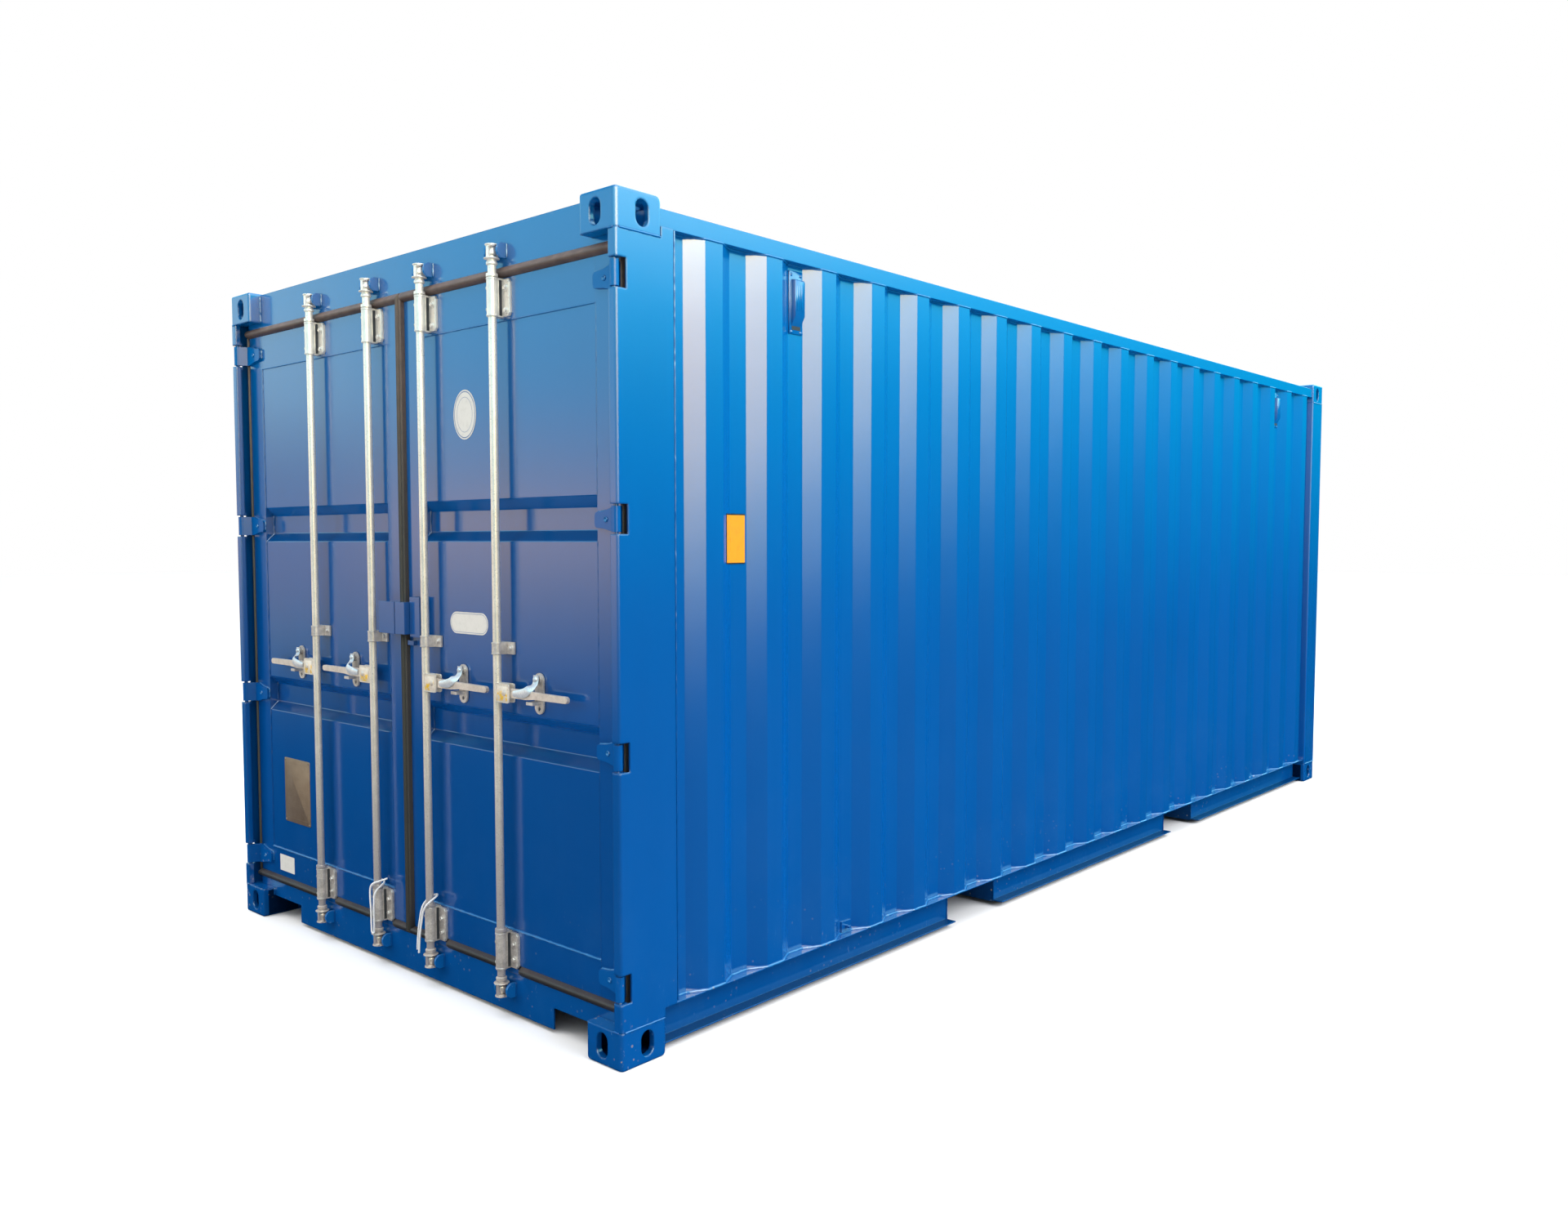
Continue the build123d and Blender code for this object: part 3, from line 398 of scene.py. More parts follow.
# ------------------------------------------------------------------ geometry helpers
class Bag:
    """Collects small solids in one mesh."""

    def __init__(self):
        self.bm = bmesh.new()

    def block(self, x0, x1, y0, y1, z0, z1, r=0.0, seg=2):
        g = bmesh.ops.create_cube(self.bm, size=1.0)["verts"]
        for v in g:
            v.co = Vector(((x0 + x1) / 2 + v.co.x * abs(x1 - x0), (y0 + y1) / 2 + v.co.y * abs(y1 - y0),
                           (z0 + z1) / 2 + v.co.z * abs(z1 - z0)))
        if r:
            es = list({e for v in g for e in v.link_edges})
            bmesh.ops.bevel(self.bm, geom=es, offset=r, segments=seg, profile=0.5, affect="EDGES")

    def lathe(self, c, axis, prof, n=20, turn=0.0):
        """prof is [(radius, height)] from the base out along axis."""
        axis = Vector(axis).normalized()
        a = axis.orthogonal().normalized()
        b = axis.cross(a)
        c = Vector(c)
        rings = []
        for r, h in prof:
            if r <= 1e-6:
                rings.append([self.bm.verts.new(c + axis * h)])
            else:
                rings.append([self.bm.verts.new(c + axis * h + r * (
                    a * math.cos(turn + 2 * math.pi * i / n) + b * math.sin(turn + 2 * math.pi * i / n)))
                    for i in range(n)])
        for p, q in zip(rings[:-1], rings[1:]):
            for i in range(n):
                j = (i + 1) % n
                if len(p) == 1:
                    self.bm.faces.new((p[0], q[j], q[i]))
                elif len(q) == 1:
                    self.bm.faces.new((p[i], p[j], q[0]))
                else:
                    self.bm.faces.new((p[i], p[j], q[j], q[i]))
        if len(rings[0]) > 1:
            self.bm.faces.new(rings[0][::-1])
        if len(rings[-1]) > 1:
            self.bm.faces.new(rings[-1])

    def bolt(self, c, axis, r=0.009, washer=True):
        c = Vector(c)
        ax = Vector(axis).normalized()
        if washer:
            self.lathe(c, ax, [(r * 1.55, 0.0), (r * 1.55, 0.0016), (r * 1.4, 0.0022)], 20)
        self.lathe(c + ax * 0.0022, ax, [(r, 0.0), (r, r * 0.55), (r * 0.86, r * 0.72)], 6, 0.3)

    def rivet(self, c, axis, r=0.006):
        self.lathe(c, axis, [(r, 0.0), (r * 0.96, r * 0.22), (r * 0.75, r * 0.45), (r * 0.4, r * 0.6),
                             (0.0, r * 0.65)], 14)

    def prism(self, outline, origin, u, v, depth, bevel=0.0, seg=2):
        """outline [(a, b)] along u and v from origin, pushed by depth along u x v."""
        u, v = Vector(u), Vector(v)
        w = u.cross(v)
        base = [self.bm.verts.new(Vector(origin) + u * a + v * b) for a, b in outline]
        top = [self.bm.verts.new(Vector(origin) + u * a + v * b + w * depth) for a, b in outline]
        n = len(outline)
        faces = [self.bm.faces.new(base[::-1]), self.bm.faces.new(top)]
        for i in range(n):
            faces.append(self.bm.faces.new((base[i], base[(i + 1) % n], top[(i + 1) % n], top[i])))
        if bevel:
            es = list({e for e in faces[1].edges})
            bmesh.ops.bevel(self.bm, geom=es, offset=bevel, segments=seg, profile=0.5, affect="EDGES")

    def tube(self, path, r, n=8, jitter=0.0, seed=0, flat=1.0):
        rnd = random.Random(seed)
        path = [Vector(p) for p in path]
        rings = []
        t0 = (path[1] - path[0]).normalized()
        side = t0.orthogonal().normalized()
        for i, p in enumerate(path):
            t = (path[min(i + 1, len(path) - 1)] - path[max(i - 1, 0)]).normalized()
            side = (side - t * side.dot(t)).normalized()
            up = t.cross(side)
            rr = r * (1 + jitter * (rnd.random() * 2 - 1))
            rings.append([self.bm.verts.new(p + rr * (side * math.cos(2 * math.pi * k / n)
                                                      + up * math.sin(2 * math.pi * k / n) * flat))
                          for k in range(n)])
        for a, b in zip(rings[:-1], rings[1:]):
            for k in range(n):
                self.bm.faces.new((a[k], a[(k + 1) % n], b[(k + 1) % n], b[k]))
        self.bm.faces.new(rings[0][::-1])
        self.bm.faces.new(rings[-1])

    def weld(self, a, b, r=0.004, step=0.007, seed=0):
        a, b = Vector(a), Vector(b)
        n = max(2, int((b - a).length / step))
        rnd = random.Random(seed + 17)
        pts = [a.lerp(b, i / n) + Vector((rnd.uniform(-1, 1), rnd.uniform(-1, 1), rnd.uniform(-1, 1))) * r * 0.10
               for i in range(n + 1)]
        self.tube(pts, r, 6, 0.22, seed)

    def build(self, name, mat, body, angle=35.0):
        me = bpy.data.meshes.new(name)
        bmesh.ops.recalc_face_normals(self.bm, faces=self.bm.faces[:])
        self.bm.to_mesh(me)
        self.bm.free()
        ob = bpy.data.objects.new(name, me)
        scene.collection.objects.link(ob)
        me.materials.append(mat)
        me.set_sharp_from_angle(angle=math.radians(angle))
        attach(ob, body)
        return ob


def rounded(points, radius, seg=4):
    """Polyline of (a, b) with rounded corners: [(a, b, normal_a, normal_b)], the normal to its left."""
    def unit(p, q):
        d = math.hypot(q[0] - p[0], q[1] - p[1])
        return (q[0] - p[0]) / d, (q[1] - p[1]) / d
    out = []
    u = unit(points[0], points[1])
    out.append((*points[0], -u[1], u[0]))
    for i in range(1, len(points) - 1):
        p, q, r = points[i - 1], points[i], points[i + 1]
        a, b = unit(p, q), unit(q, r)
        cross = a[0] * b[1] - a[1] * b[0]
        turn = math.atan2(cross, a[0] * b[0] + a[1] * b[1])
        t = radius * math.tan(abs(turn) / 2)
        t = min(t, 0.45 * math.dist(p, q), 0.45 * math.dist(q, r))
        rad = t / math.tan(abs(turn) / 2)
        s = (q[0] - a[0] * t, q[1] - a[1] * t)
        side = 1 if turn > 0 else -1
        c = (s[0] - a[1] * rad * side, s[1] + a[0] * rad * side)
        for k in range(seg + 1):
            w = turn * k / seg
            na = (-a[1] * math.cos(w) - a[0] * math.sin(w), a[0] * math.cos(w) - a[1] * math.sin(w))
            out.append((c[0] - na[0] * rad * side, c[1] - na[1] * rad * side, *na))
    u = unit(points[-2], points[-1])
    out.append((*points[-1], -u[1], u[0]))
    return out


def sheet_mesh(name, prof, levels, place, direct, thick, mat, body, flip=False, ripple=None):
    """A bent sheet: prof from rounded(), swept through levels. place(a, b, t) gives a point, direct(na, nb) a normal."""
    verts, normals, faces = [], [], []
    n, m = len(prof), len(levels)
    for side in (0, 1):
        for t in levels:
            for a, b, na, nb in prof:
                off = thick * side
                p = place(a - na * off, b - nb * off, t)
                d = direct(na, nb)
                if ripple:
                    p = p + d * ripple(p)
                verts.append(p)
                normals.append(d if side == 0 else -d)
    for side in (0, 1):
        o = side * n * m
        for j in range(m - 1):
            for i in range(n - 1):
                f = (o + j * n + i, o + j * n + i + 1, o + (j + 1) * n + i + 1, o + (j + 1) * n + i)
                faces.append(f if (side == 0) != flip else f[::-1])
    for j in (0, m - 1):
        for i in range(n - 1):
            f = (j * n + i, j * n + i + 1, n * m + j * n + i + 1, n * m + j * n + i)
            faces.append(f if (j != 0) != flip else f[::-1])
    for i in (0, n - 1):
        for j in range(m - 1):
            f = (j * n + i, (j + 1) * n + i, n * m + (j + 1) * n + i, n * m + j * n + i)
            faces.append(f if (i == 0) != flip else f[::-1])
    me = bpy.data.meshes.new(name)
    me.from_pydata([tuple(v) for v in verts], [], faces)
    me.update()
    for p in me.polygons:
        p.use_smooth = True
    me.normals_split_custom_set_from_vertices([tuple(v) for v in normals])
    ob = bpy.data.objects.new(name, me)
    scene.collection.objects.link(ob)
    me.materials.append(mat)
    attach(ob, body)
    return ob


# ------------------------------------------------------------------ tie cords
CORD_2 = [(46, 14, 331), (36, 0, 326), (23, -14, 320), (6, -22.5, 313), (-9, -24.5, 298), (-14, -24, 272),
          (-10, -24.5, 240), (-7, -24, 200), (-6.5, -24.6, 165), (-6, -24.2, 143), (-5.8, -24, 126),
          (11.4, -24.4, 126.5), (11, -24.2, 142), (12.2, -23.6, 168), (11, -24.5, 203), (12.5, -24, 238),
          (13, -23, 268), (20, -16.5, 289), (26, -4, 302), (24, 11, 309), (11, 22, 312), (-6, 24.5, 315),
          (-20, 17, 318)]
CORD_3 = [(-46, -19, 118), (-44, -18, 143), (-40, -18.8, 176), (-33, -18, 213), (-23, -19, 245), (-11, -22, 272),
          (4, -24.8, 292), (17, -19.5, 308), (26, -6, 321), (27, 9, 329), (17, 21, 332), (1, 25, 329),
          (-14, 20, 322), (-24, 7, 312), (-27, -8, 297), (-32, -14.5, 276), (-38, -16, 249), (-47, -16.8, 214),
          (-54, -15.5, 180), (-58, -16.5, 151), (-59.5, -16, 127)]


def spline_line(name, pts):
    cu = bpy.data.curves.new(name + "_route", "CURVE")
    cu.dimensions = "3D"
    cu.resolution_u = 14
    sp = cu.splines.new("NURBS")
    sp.points.add(len(pts) - 1)
    for q, p in zip(sp.points, pts):
        q.co = (p[0], p[1], p[2], 1.0)
    sp.order_u = 3
    sp.use_endpoint_u = True
    ob = bpy.data.objects.new(name + "_route", cu)
    scene.collection.objects.link(ob)
    me = bpy.data.meshes.new_from_object(ob.evaluated_get(bpy.context.evaluated_depsgraph_get()))
    line = [v.co.copy() for v in me.vertices]
    bpy.data.objects.remove(ob)
    bpy.data.curves.remove(cu)
    bpy.data.meshes.remove(me)
    return line


def rope(name, bx, offsets, node, body, seed):
    pts = [(bx + x / 1000, BAR_Y + y / 1000, z / 1000) for x, y, z in offsets]
    line = spline_line(name, pts)
    # even steps along the route's own line
    step, out, carry = 0.0016, [line[0]], 0.0
    for a, b in zip(line[:-1], line[1:]):
        d = (b - a).length
        s = step - carry
        while s <= d:
            out.append(a.lerp(b, s / d))
            s += step
        carry = d - (s - step)
    out.append(line[-1])
    R, n = 0.0035, 24
    verts, faces = [], []
    t = (out[1] - out[0]).normalized()
    side = t.orthogonal().normalized()
    for i, p in enumerate(out):
        t = (out[min(i + 1, len(out) - 1)] - out[max(i - 1, 0)]).normalized()
        side = (side - t * side.dot(t)).normalized()
        up = t.cross(side)
        twist = 2 * math.pi * i * step / 0.024
        for k in range(n):
            th = 2 * math.pi * k / n
            lobe = abs(math.cos(1.5 * (th - twist)))
            r = R * (0.80 + 0.20 * lobe ** 0.7)
            verts.append(p + r * (side * math.cos(th) + up * math.sin(th)))
    m = len(out)
    for i in range(m - 1):
        for k in range(n):
            faces.append((i * n + k, i * n + (k + 1) % n, (i + 1) * n + (k + 1) % n, (i + 1) * n + k))
    faces.append(tuple(range(n))[::-1])
    faces.append(tuple(range((m - 1) * n, m * n)))
    me = bpy.data.meshes.new(name)
    me.from_pydata([tuple(v) for v in verts], [], faces)
    me.update()
    for p in me.polygons:
        p.use_smooth = True
    ob = bpy.data.objects.new(name, me)
    scene.collection.objects.link(ob)
    me.materials.append(ROPE)
    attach(ob, body)
    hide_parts(node)
    return ob


rope("cord_left", BAR_X[1], CORD_2, "tie_cord_left", "left_door", 3)
rope("cord_right", BAR_X[2], CORD_3, "tie_cord_right", "right_door", 4)

# ------------------------------------------------------------------ finishes of the carried-over nodes
FINISH = {
    "top_corner_fittings": BLUE_CAST, "bottom_corner_fittings": BLUE_CAST,
    "rear_post_left": BLUE_POST, "rear_post_right": BLUE_POST, "front_post_left": BLUE_POST,
    "front_post_right": BLUE_POST,
    "hinge_lugs_left": BLUE_HINGE, "hinge_lugs_right": BLUE, "top_side_rails": BLUE,
    "bottom_side_rail_left": BLUE_SILL, "bottom_side_rail_right": BLUE_SILL,
    "door_header": BLUE, "door_sill": BLUE_SILL, "front_end_rails": BLUE, "front_wall": BLUE,
    "roof_panel": BLUE, "floor_boards": PLY, "cross_members": BLUE_UNDER, "fork_pockets": BLUE_UNDER,
    "cam_keepers": BLUE_KEEPER, "holdback_hooks": BLUE, "lock_box_left": BLUE_DOOR, "lock_box_right": BLUE_DOOR,
    "side_wall_left": BLUE_WALL, "side_wall_right": BLUE_WALL, "ventilators": BLUE,
    "tie_cord_left": ROPE, "tie_cord_right": ROPE,
}
for side in ("left", "right"):
    FINISH[f"door_{side}_stiles"] = BLUE_DOOR
    FINISH[f"door_{side}_rails"] = BLUE_DOOR
    FINISH[f"door_{side}_panel"] = BLUE_SHEET
    FINISH[f"door_{side}_gasket"] = RUBBER
    FINISH[f"door_{side}_hinge_blades"] = BLUE_HINGE
    FINISH[f"door_{side}_bar_brackets"] = ZINC
    FINISH[f"door_{side}_handle_retainers"] = ZINC
for i in range(4):
    FINISH[f"lock_bar_{i + 1}"] = ZINC_BAR
    FINISH[f"handle_{i + 1}"] = ZINC_HANDLE
for name, ob in nodes.items():
    mat = FINISH[name]
    if not ob.data.materials:
        ob.data.materials.append(mat)
    for slot in ob.material_slots:
        slot.material = mat


# ------------------------------------------------------------------ corrugated side walls
def wall_points(y_start=-2.797, y_end=2.851):
    wave, slope, flat = 0.2811, 0.065, 0.0745
    pts = [(WALL_IN, y_start)]
    for k in range(20):
        y = -2.724 + wave * k
        pts += [(WALL_IN, y), (WALL_OUT, y + slope), (WALL_OUT, y + slope + flat),
                (WALL_IN, y + 2 * slope + flat + 0.002)]
    pts = [p for p in pts if p[1] < y_end - 0.004]
    pts.append((WALL_IN, y_end))
    return pts


WALL_PROF = rounded(wall_points(), 0.009, 4)


def wall_ripple(p):
    edge = min(p.z - WALL_Z0, WALL_Z1 - p.z, 0.25) / 0.25
    return 0.0011 * max(0.0, edge) * noise.noise(Vector((p.x * 2, p.y * 2.3, p.z * 1.6)))


for sx, side in ((-1, "left"), (1, "right")):
    levels = [WALL_Z0 + (WALL_Z1 - WALL_Z0) * i / 18 for i in range(19)]
    ob = sheet_mesh(f"wall_sheet_{side}", WALL_PROF, levels,
                    lambda a, b, t, sx=sx: Vector((sx * a, b, t)),
                    lambda na, nb, sx=sx: Vector((-sx * na, -nb, 0.0)),
                    -0.002, BLUE_WALL, "container", flip=(sx < 0), ripple=wall_ripple)
    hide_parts(f"side_wall_{side}")

    # weld along the foot and the head of the sheet, following its bends
    bag = Bag()
    rnd = random.Random(5 + sx)
    foot = []
    for a, b, na, nb in rounded(wall_points(), 0.012, 3):
        foot.append((a, b))
    fine = [foot[0]]
    for p, q in zip(foot[:-1], foot[1:]):
        d = math.dist(p, q)
        k = max(1, int(d / 0.012))
        for j in range(1, k + 1):
            fine.append((p[0] + (q[0] - p[0]) * j / k, p[1] + (q[1] - p[1]) * j / k))
    bag.tube([(sx * (a + 0.001 + rnd.uniform(-0.0005, 0.0005)), b, WALL_Z0 + 0.0015 + rnd.uniform(-0.0006, 0.0006))
              for a, b in fine], 0.0048, 6, 0.18, 3)
    bag.tube([(sx * (a + 0.001), b, WALL_Z1 - 0.001) for a, b in fine[::2]], 0.0035, 5, 0.15, 4)
    bag.build(f"wall_weld_{side}", BLUE_WELD, "container", 80)


# ------------------------------------------------------------------ door sheets, seams and seals
def door_ripple(p):
    return 0.0008 * noise.noise(Vector((p.x * 3, 5.0, p.z * 3)))


BAND_DEPTH, BAND_SLOPE = 0.034, 0.032
for sx, side in ((-1, "left"), (1, "right")):
    body = f"{side}_door"
    z0, z1 = LEAF_Z0 + BOT_RAIL, LEAF_Z1 - TOP_RAIL
    pts = [(PANEL_Y, z0)]
    for c0, c1 in BANDS:
        pts += [(PANEL_Y, c0), (PANEL_Y + BAND_DEPTH, c0 + BAND_SLOPE), (PANEL_Y + BAND_DEPTH, c1 - BAND_SLOPE),
                (PANEL_Y, c1)]
    pts.append((PANEL_Y, z1))
    prof = rounded(pts, 0.007, 4)
    xa, xb = sorted((sx * (LEAF_IN + STILE), sx * (LEAF_OUT - OUT_STILE)))
    levels = [xa + (xb - xa) * i / 14 for i in range(15)]
    ob = sheet_mesh(f"door_sheet_{side}", prof, levels,
                    lambda a, b, t: Vector((t, a, b)),
                    lambda na, nb: Vector((0.0, na, nb)),
                    0.002, BLUE_SHEET, body, flip=True, ripple=door_ripple)
    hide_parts(f"door_{side}_panel")

    bag = Bag()
    ax, bx = sx * (LEAF_IN + STILE), sx * (LEAF_OUT - OUT_STILE)
    line = Bag()
    line.weld((ax, FACE + 0.0010, z0), (bx, FACE + 0.0010, z0), 0.0042, 0.012, 1)
    line.build(f"door_foot_line_{side}", BLUE_WELD, body, 80)
    bag.weld((ax, FACE + 0.0012, z1), (bx, FACE + 0.0012, z1), 0.0024, 0.009, 2)
    for x in (ax, bx):
        for a, b in ((z0, BANDS[0][0]), (BANDS[0][1], BANDS[1][0]), (BANDS[1][1], z1)):
            bag.weld((x, FACE + 0.0012, a), (x, FACE + 0.0012, b), 0.0026, 0.010, int(a * 100))
        for c0, c1 in BANDS:
            y1 = PANEL_Y + BAND_DEPTH
            bag.weld((x, PANEL_Y, c0), (x, y1, c0 + BAND_SLOPE), 0.003, 0.009, 5)
            bag.weld((x, y1 - 0.002, c0 + BAND_SLOPE), (x, y1 - 0.002, c1 - BAND_SLOPE), 0.003, 0.009, 6)
            bag.weld((x, y1, c1 - BAND_SLOPE), (x, PANEL_Y, c1), 0.003, 0.009, 7)
    bag.build(f"door_seams_{side}", BLUE_DOOR, body, 80)

    # seal: a round bulb that laps over the edge of the frame, thin where the bar brackets stand
    full = [(0.0, 14.0), (0.03, 20.5), (0.10, 24.0), (0.12, 27.5), (0.17, 31.0), (0.26, 34.0), (0.38, 35.5),
            (0.52, 35.0), (0.66, 33.0), (0.80, 29.5), (0.92, 26.2), (1.0, 23.6)]
    thin = [(u, min(v, 15.0)) for u, v in full]
    side_prof = [(0.0, 14.0), (0.06, 15.6), (0.24, 16.2), (0.30, 14.6), (0.32, 17.5), (0.37, 20.6), (0.46, 23.0),
                 (0.58, 24.0), (0.70, 23.2), (0.80, 20.6), (0.86, 16.5), (1.0, 11.0)]
    bars = sorted(abs(x) for x in BAR_X if x * sx > 0)
    gaps = sorted((abs(x) - 0.015, abs(x) + 0.058) if sx > 0 else (abs(x) - 0.058, abs(x) + 0.015) for x in bars)
    near, far_, low, high = 0.0155, 0.018, 0.030, 0.033

    def seal_ring(x, z, ux, uz, prof_a, t, prof_b):
        """Points of the seal's section at a place on the leaf's edge; it grows outwards along (ux, uz)."""
        out = []
        for (u, v), (u2, v2) in zip(prof_a, prof_b):
            w, d = u + (u2 - u) * t, v + (v2 - v) * t
            out.append((sx * (x + ux * w), -2.957 - d / 1000, z + uz * w))
        u, v = out[-1][0], out[-1][2]
        out.append((u, -2.957 - (0.0226 if prof_a is full else 0.001), v))
        out.append((sx * (x + ux * 0.3), -2.957, z + uz * 0.3))
        out.append((sx * x, -2.957, z))
        return out

    x_lo, x_hi = LEAF_IN, LEAF_OUT
    rings = []
    for z, uz, gaps_here in ((LEAF_Z0, -low, gaps), (LEAF_Z1, high, [])):
        xs = [(x_lo, 0.0)]
        for g0, g1 in gaps_here:
            xs += [(g0 - 0.010, 0.0), (g0, 1.0), (g1, 1.0), (g1 + 0.010, 0.0)]
        xs.append((x_hi, 0.0))
        fine = []
        for (p, a_), (q, b_) in zip(xs[:-1], xs[1:]):
            k = max(1, int((q - p) / 0.05))
            fine += [(p + (q - p) * j / k, a_ + (b_ - a_) * j / k) for j in range(k)]
        fine.append(xs[-1])
        run = []
        for n_, (x, t) in enumerate(fine):
            end = -near if n_ == 0 else far_ if n_ == len(fine) - 1 else 0.0
            run.append(seal_ring(x, z, end, uz, full, t, thin))
        rings.append(run if uz < 0 else run[::-1])
    bm = bmesh.new()
    for run in rings:
        lines = [[bm.verts.new(p) for p in ring] for ring in run]
        for p, q in zip(lines[:-1], lines[1:]):
            m = len(p)
            for i in range(m):
                bm.faces.new((p[i], p[(i + 1) % m], q[(i + 1) % m], q[i]))
        bm.faces.new(lines[0])
        bm.faces.new(lines[-1][::-1])
    for x, ux, prof in ((x_lo, -near, full), (x_hi, far_, side_prof)):
        lines = []
        for k in range(41):
            z = LEAF_Z0 + (LEAF_Z1 - LEAF_Z0) * k / 40
            end = -low if k == 0 else high if k == 40 else 0.0
            ring = []
            for u, v in prof:
                ring.append((sx * (x + ux * u), -2.957 - v / 1000, z + end * u))
            ring += [(sx * (x + ux), -2.957, z + end), (sx * x, -2.957, z)]
            lines.append([bm.verts.new(p) for p in ring])
        for p, q in zip(lines[:-1], lines[1:]):
            m = len(p)
            for i in range(m):
                bm.faces.new((p[i], p[(i + 1) % m], q[(i + 1) % m], q[i]))
        bm.faces.new(lines[0])
        bm.faces.new(lines[-1][::-1])
    bmesh.ops.recalc_face_normals(bm, faces=bm.faces[:])
    me = bpy.data.meshes.new(f"door_seal_{side}")
    bm.to_mesh(me)
    bm.free()
    me.set_sharp_from_angle(angle=math.radians(55))
    ob = bpy.data.objects.new(f"door_seal_{side}", me)
    scene.collection.objects.link(ob)
    me.materials.append(RUBBER)
    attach(ob, body)
    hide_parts(f"door_{side}_gasket")

    # hinge blades: weld round the leaf end, dimple and pin cap; the lighter bead paint of these welds is a painted
    # highlight along the blade's top edge
    bag = Bag()
    for zc in HINGE_Z:
        ring2 = [(1.066, 0.014), (1.072, 0.022), (1.112, 0.026), (1.152, KNUCKLE)]
        for r in (ring2,):
            for (xa_, za), (xb_, zb) in zip(r[:-1], r[1:]):
                bag.weld((sx * xa_, FACE - 0.001, zc + za), (sx * xb_, FACE - 0.001, zc + zb), 0.0038, 0.007,
                         int(abs(xa_) * 1000))
        bag.weld((sx * 1.066, FACE - 0.001, zc - 0.016), (sx * 1.066, FACE - 0.001, zc + 0.014), 0.0038, 0.007, 9)
        bag.lathe((sx * 1.118, FACE - 0.0118, zc), (0, -1, 0), [(0.0085, 0), (0.0085, 0.0022), (0.0068, 0.0034),
                                                              (0.005, 0.0016), (0.0, 0.0012)], 18)
    bag.build(f"hinge_welds_{side}", BLUE_WELD, body, 60)

# ------------------------------------------------------------------ handle retainers: low pivot boss
PLATE_FRONT = FACE - 0.006


def low_boss(y, z):
    if z > HUB_Z + 0.028 and y < PLATE_FRONT - 0.0005:
        return PLATE_FRONT + (y - PLATE_FRONT) * 0.36
    return y


for side in ("left", "right"):
    src = nodes[f"door_{side}_handle_retainers"]
    me = src.data.copy()
    me.name = f"handle_retainer_plates_{side}"
    me.transform(src.matrix_world)
    for v in me.vertices:
        v.co.y = low_boss(v.co.y, v.co.z)
    me.update()
    me.materials.clear()
    me.materials.append(ZINC)
    me.set_sharp_from_angle(angle=math.radians(40))
    ob = bpy.data.objects.new(me.name, me)
    scene.collection.objects.link(ob)
    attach(ob, f"{side}_door")
    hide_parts(f"door_{side}_handle_retainers")

# ------------------------------------------------------------------ bar brackets: small middle guides
for side in ("left", "right"):
    src = nodes[f"door_{side}_bar_brackets"]
    me = src.data.copy()
    me.name = f"bar_bracket_bodies_{side}"
    me.transform(src.matrix_world)
    for v in me.vertices:
        if 1.19 < v.co.z < 1.27:
            v.co.z = 1.229 + (v.co.z - 1.229) * 0.76
            near_bar = min(BAR_X, key=lambda b: abs(b - v.co.x))
            if v.co.x - near_bar > 0.05:
                v.co.x = near_bar + 0.052
    me.update()
    me.materials.clear()
    me.materials.append(ZINC)
    me.set_sharp_from_angle(angle=math.radians(40))
    ob = bpy.data.objects.new(me.name, me)
    scene.collection.objects.link(ob)
    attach(ob, f"{side}_door")
    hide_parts(f"door_{side}_bar_brackets")


def stadium(w, h, n=16, r=None):
    r = r if r is not None else min(w, h) / 2
    out = []
    for cx, cy, a0 in ((w / 2 - r, h / 2 - r, 0), (-w / 2 + r, h / 2 - r, 90), (-w / 2 + r, -h / 2 + r, 180),
                       (w / 2 - r, -h / 2 + r, 270)):
        for k in range(n + 1):
            a = math.radians(a0 + 90 * k / n)
            p = (cx + r * math.cos(a), cy + r * math.sin(a))
            if not out or math.dist(out[-1], p) > 1e-6:
                out.append(p)
    if math.dist(out[0], out[-1]) < 1e-6:
        out.pop()
    return out


def oval(w, h, n=56):
    return [(w / 2 * math.cos(2 * math.pi * k / n), h / 2 * math.sin(2 * math.pi * k / n)) for k in range(n)]


U, V = (1, 0, 0), (0, 0, 1)      # u x v points to -Y, out of the door


